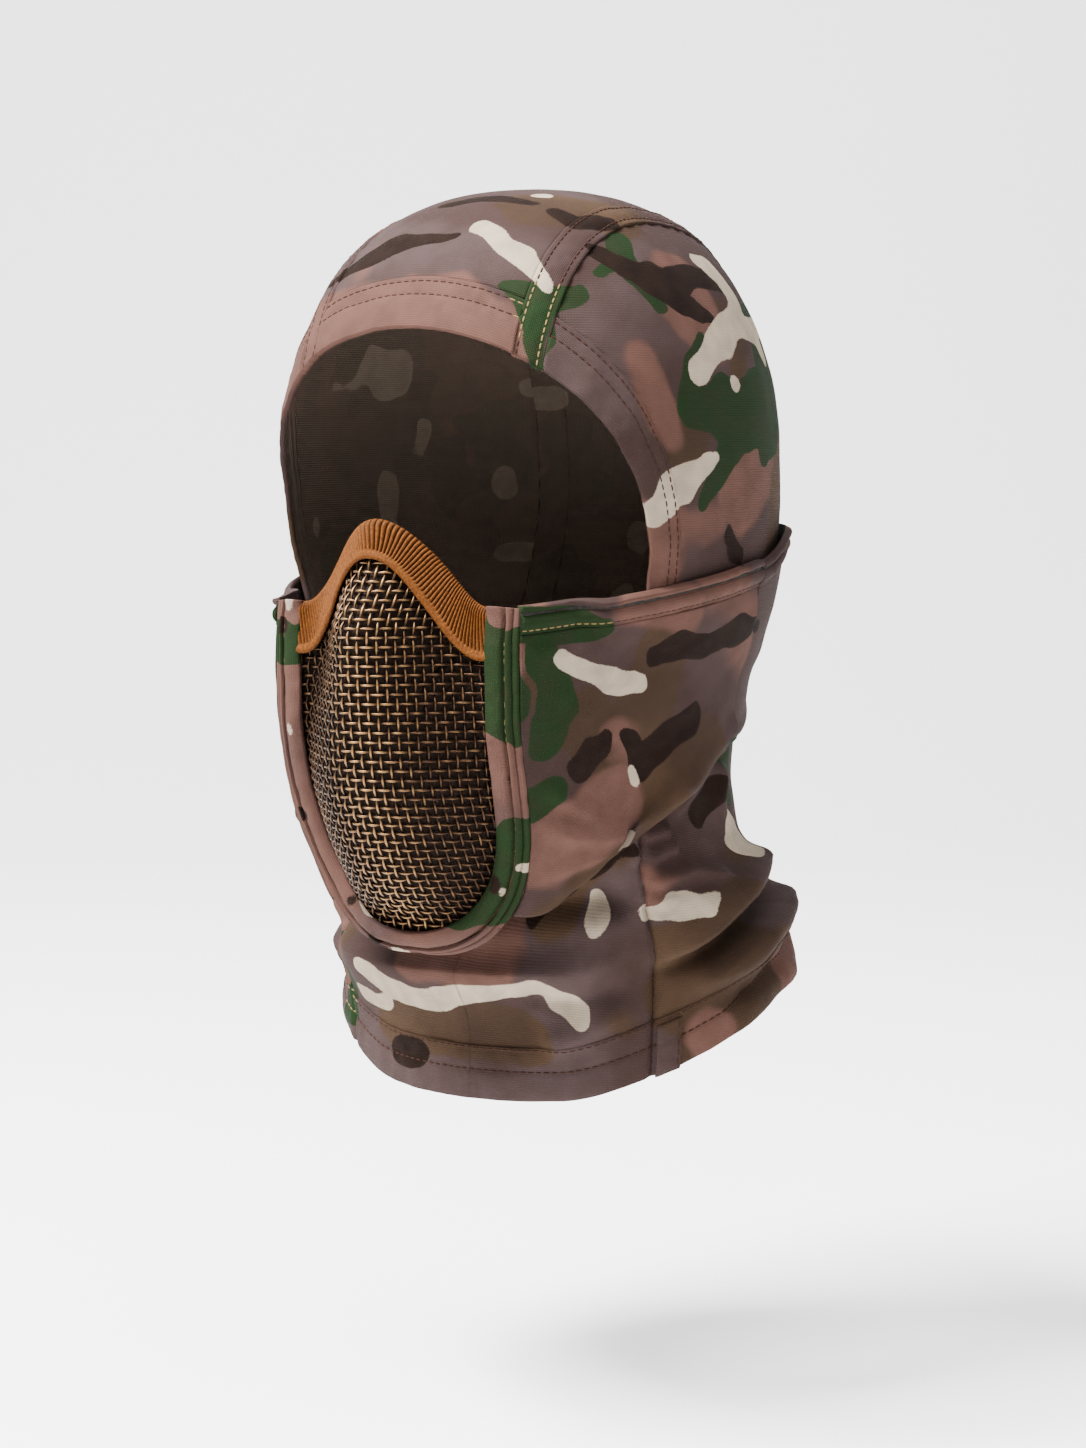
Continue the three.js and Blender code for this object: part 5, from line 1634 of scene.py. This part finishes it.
def nose_trim():
    """Ribbed webbing folded over the top edge of the mesh."""
    at, out, front, width, length = bridge_stations(760, 1 - GAP / MASK_HALF)
    face = np.linspace(0, 1, 22)
    w = width[:, None]
    edge = 2.7
    distance = face[None, :] * (w - edge)
    place = length[:, None] + 0.16 * distance + 0.5 * noise(vec(length[:, None], distance, 0), 12, 6.3)
    rib = np.abs(np.cos(np.pi * place / RIB_PITCH))**0.8
    plain = smooth(distance, 1.7, 2.3)
    uneven = 0.25 * noise(vec(length[:, None], distance, 9), 7, 1.1)
    height = 1.55 + 1.25 * rib * plain + 1.15 * (1 - plain) + uneven
    arc = np.linspace(np.pi / 2, -np.pi / 2, 9)[1:]
    top = np.broadcast_to(0.55 + 0.45 * rib[:, -1:], (len(at), 8))
    around = np.stack([w - edge + edge * np.cos(arc), edge * np.sin(arc) * top], -1)
    back = np.stack([mix(w - edge, 4, np.array([0.3, 0.6, 1.0])), -2.7 + 0 * w + np.zeros(3)], -1)
    inner = np.stack([mix(4, w - edge, np.array([0, 0.5, 1])), -1.5 + 0 * w + np.zeros(3)], -1)
    lips = np.stack([mix(w - edge, 0.2, np.array([0, 0.5, 1])), 1.2 + 0 * w + np.zeros(3)], -1)
    roll = np.stack([np.array([-0.55, -0.75]) + 0 * w, np.array([1.4, 2.1]) + 0 * w], -1)
    section = np.concatenate([np.stack([distance, height], -1), around, back, inner, lips, roll], 1)
    # Painted light and shade for the webbing: bright rib crowns and dark grooves.
    rib_light_and_shade = np.full(section.shape[:2], 0.75)
    rib_light_and_shade[:, :22] = np.where(plain > 0.4, rib, 0.95)
    rib_light_and_shade[:, 22:30] = rib[:, -1:]
    rib_light_and_shade[:, -2:] = 0.95
    uv = np.stack(np.broadcast_arrays(length[:, None], section[..., 0]), -1) / 10
    fields = {"rib": np.stack([rib_light_and_shade] * 3, -1)}
    piece, _ = sweep_mesh("nose_trim_webbing", at, out, front, section, fields, uv)
    piece.data.materials.append(WEBBING)
    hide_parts("nose_trim")
    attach(piece, "mask")


nose_trim()


# %% Binding and piping
def binding_fields(p):
    """The binding is cut from the same print: green on the wearer's left, mauve and pink below."""
    x, z = p[..., 0], p[..., 2]
    left = np.maximum(19 - np.abs(z + 153), 16 - np.abs(z + 219))
    right = 6.5 - np.abs(z + 142)
    green = np.where(x > 2, left, right) + 7 * noise(p, 13, 3.7) + 2.5 * noise(p, 5, 1.2)
    low = smooth(-z, 205, 225)
    brown = 6 * noise(p, 9, 6.6) - 3.6 + 0.8 * low
    white = 6 * noise(p, 8, 1.9) - 4.6 + 1.6 * low
    pink = 2.2 * noise(p, 16, 0.7) + 0.8
    stack = np.stack([green, brown, white], -1)
    return {"print": stack, "ground": np.stack([-1.5 + 0 * x, pink, noise(p, 11, 4.1)], -1)}


def mask_binding():
    """Jersey turned over the mask's edge, puckered between its stitches."""
    share = np.linspace(0, 1, 560)
    at, out, front = edge_station(share)
    length = (share * EDGE_LENGTH[-1])[:, None]
    across = np.linspace(0, 1, 26)[None, :]
    distance = across * (BINDING_WIDTH - 1.3)
    tube = 1.5 + 1.75 * np.sin(np.pi * np.clip((distance + 0.9) / 7.3, 0, 1))**0.75
    seam = -0.95 * np.exp(-((distance - 6.3) / 0.55)**2)
    strip = 0.5 * smooth(distance, 6.5, 7.1)
    pucker = 1 + 0.15 * noise(vec(length, distance * 0.7, 0), 3.4, 2.6)
    pucker = pucker + 0.10 * noise(vec(length, distance, 5), 8, 1.2)
    ends = 1.2 * (np.exp(-(length / 2.2)**2) + np.exp(-((EDGE_LENGTH[-1] - length) / 2.2)**2))
    height = tube * pucker + seam + strip + ends * np.sin(np.pi * across)**0.4
    arc = np.linspace(np.pi / 2, -np.pi / 2, 8)[1:]
    rounding = np.stack([BINDING_WIDTH - 1.3 + 1.3 * np.cos(arc), 1.9 * np.sin(arc)], -1)
    rest = np.array([
        [6.0, -2.6], [4.0, -2.7], [2.0, -2.5], [2.0, -1.7], [5.5, -1.6],
        [7.0, 0], [5.5, 1.2], [2.5, 1.2], [0.4, 0.9], [-0.35, 1.1],
    ])
    tail = np.broadcast_to(np.concatenate([rounding, rest]), (len(at), 17, 2))
    section = np.concatenate([np.stack(np.broadcast_arrays(distance, height), -1), tail], 1)
    seat = at[:, None] + out[:, None] * section[..., :1] + front[:, None] * section[..., 1:]
    uv = np.stack(np.broadcast_arrays(length, section[..., 0] + section[..., 1]), -1) / 10
    piece, points = sweep_mesh("binding_cloth", at, out, front, section, binding_fields(seat), uv)
    piece.data.materials.append(HOOD_CLOTH)
    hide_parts("mask_binding")
    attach(piece, "mask")
    strip = (EDGE_LENGTH[-1] * MM, (2 * BINDING_WIDTH + 1) * MM)
    row = [(points[4:-4, 22], front[4:-4])]
    stitches("binding_stitches", row, "mask", binding_fields)


def edge_piping():
    """The rolled edge outside the binding."""
    share = np.linspace(0, 1, 420)
    at, out, front = edge_station(share)
    length = (share * EDGE_LENGTH[-1])[:, None]
    turn = np.linspace(0, 2 * np.pi, 14, endpoint=False)[None, :]
    radius = 1.25 + 0.16 * noise(vec(length, 2 * np.cos(turn), 2 * np.sin(turn)), 3.2, 8.1)
    off = BINDING_WIDTH + GAP + PIPING_RADIUS
    section = np.stack([off + radius * np.cos(turn), radius * np.sin(turn) - PIPING_SET_BACK + 0.5], -1)
    seat = at[:, None] + out[:, None] * section[..., :1]
    uv = np.stack(np.broadcast_arrays(length, turn), -1) / 10
    piece, _ = sweep_mesh("piping_cord", at, out, front, section, binding_fields(seat), uv)
    piece.data.materials.append(HOOD_CLOTH)
    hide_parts("edge_piping")
    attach(piece, "mask")


mask_binding()
edge_piping()

# %% The rim wire keeps its CAD shape
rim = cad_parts["mesh_rim"]
rim.data.materials.clear()
rim.data.materials.append(WIRE)
# %% [markdown]
# ## Stage, light and camera
#
# The hood is shown as it is worn, held up with nobody in it, over a plain pale floor. One large
# soft light stands above on the viewer's left and a pale room fills the shadows.


# %% Floor
def pale_floor():
    """A floor that curves up behind into a backdrop: flat, then a quarter circle, then upright."""
    height, reach, radius = -0.412, 2.6, 1.2
    bend = np.linspace(0, np.pi / 2, 24)
    run = np.concatenate([[-2.5], reach - radius + radius * np.sin(bend), [reach]])
    rise = np.concatenate([[0], radius * (1 - np.cos(bend)), [3.5]]) + height
    turn = np.radians(CAMERA_AZIMUTH)
    side = np.linspace(-3, 3, 2)
    away, right = np.array([-np.sin(turn), np.cos(turn)]), np.array([np.cos(turn), np.sin(turn)])
    plan = run[:, None, None] * away + side[None, :, None] * right
    points = np.concatenate([plan, np.broadcast_to(rise[:, None, None], (*plan.shape[:2], 1))], -1)
    floor = make_mesh("floor", points / MM, grid_faces(*points.shape[:2], False).tolist())
    material, _, shader = finish("pale floor", 0.9, specular=0.1)
    shader.inputs["Base Color"].default_value = colour(248, 248, 248)
    floor.data.materials.append(material)


def soft_light(name, azimuth, elevation, distance, size, watts):
    """A square area light at a direction and distance from the middle of the hood, facing it."""
    middle = np.array([0.0, 0.0, -0.14])
    turn, climb = np.radians(azimuth), np.radians(elevation)
    direction = np.array([np.sin(turn) * np.cos(climb), -np.cos(turn) * np.cos(climb), np.sin(climb)])
    data = bpy.data.lights.new(name, "AREA")
    data.size = size
    data.energy = watts
    lamp = bpy.data.objects.new(name, data)
    lamp.location = middle + direction * distance
    lamp.rotation_euler = (np.pi / 2 - climb, 0, turn)
    bpy.context.scene.collection.objects.link(lamp)


# %% Camera
CAMERA_AZIMUTH = 31.0
CAMERA_DISTANCE, CAMERA_HEIGHT = 1.075, -0.0765
CAMERA_LENS, CAMERA_TILT, CAMERA_TURN = 79.4, -5.37, 0.233

turn = np.radians(CAMERA_AZIMUTH)
lens = bpy.data.cameras.new("camera")
lens.lens = CAMERA_LENS
lens.sensor_width = 36
camera = bpy.data.objects.new("camera", lens)
camera.location = (CAMERA_DISTANCE * np.sin(turn), -CAMERA_DISTANCE * np.cos(turn), CAMERA_HEIGHT)
camera.rotation_euler = (np.radians(90 + CAMERA_TILT), 0, turn - np.radians(CAMERA_TURN))
bpy.context.scene.collection.objects.link(camera)
bpy.context.scene.camera = camera

pale_floor()
soft_light("key light", -32, 58, 2.0, 0.9, 310)
soft_light("fill light", 60, 64, 2.4, 2.0, 75)
room = bpy.data.worlds.new("room")
bpy.context.scene.world = room
room.use_nodes = True
room.node_tree.nodes["Background"].inputs["Color"].default_value = (0.94, 0.95, 0.97, 1)
room.node_tree.nodes["Background"].inputs["Strength"].default_value = 0.7
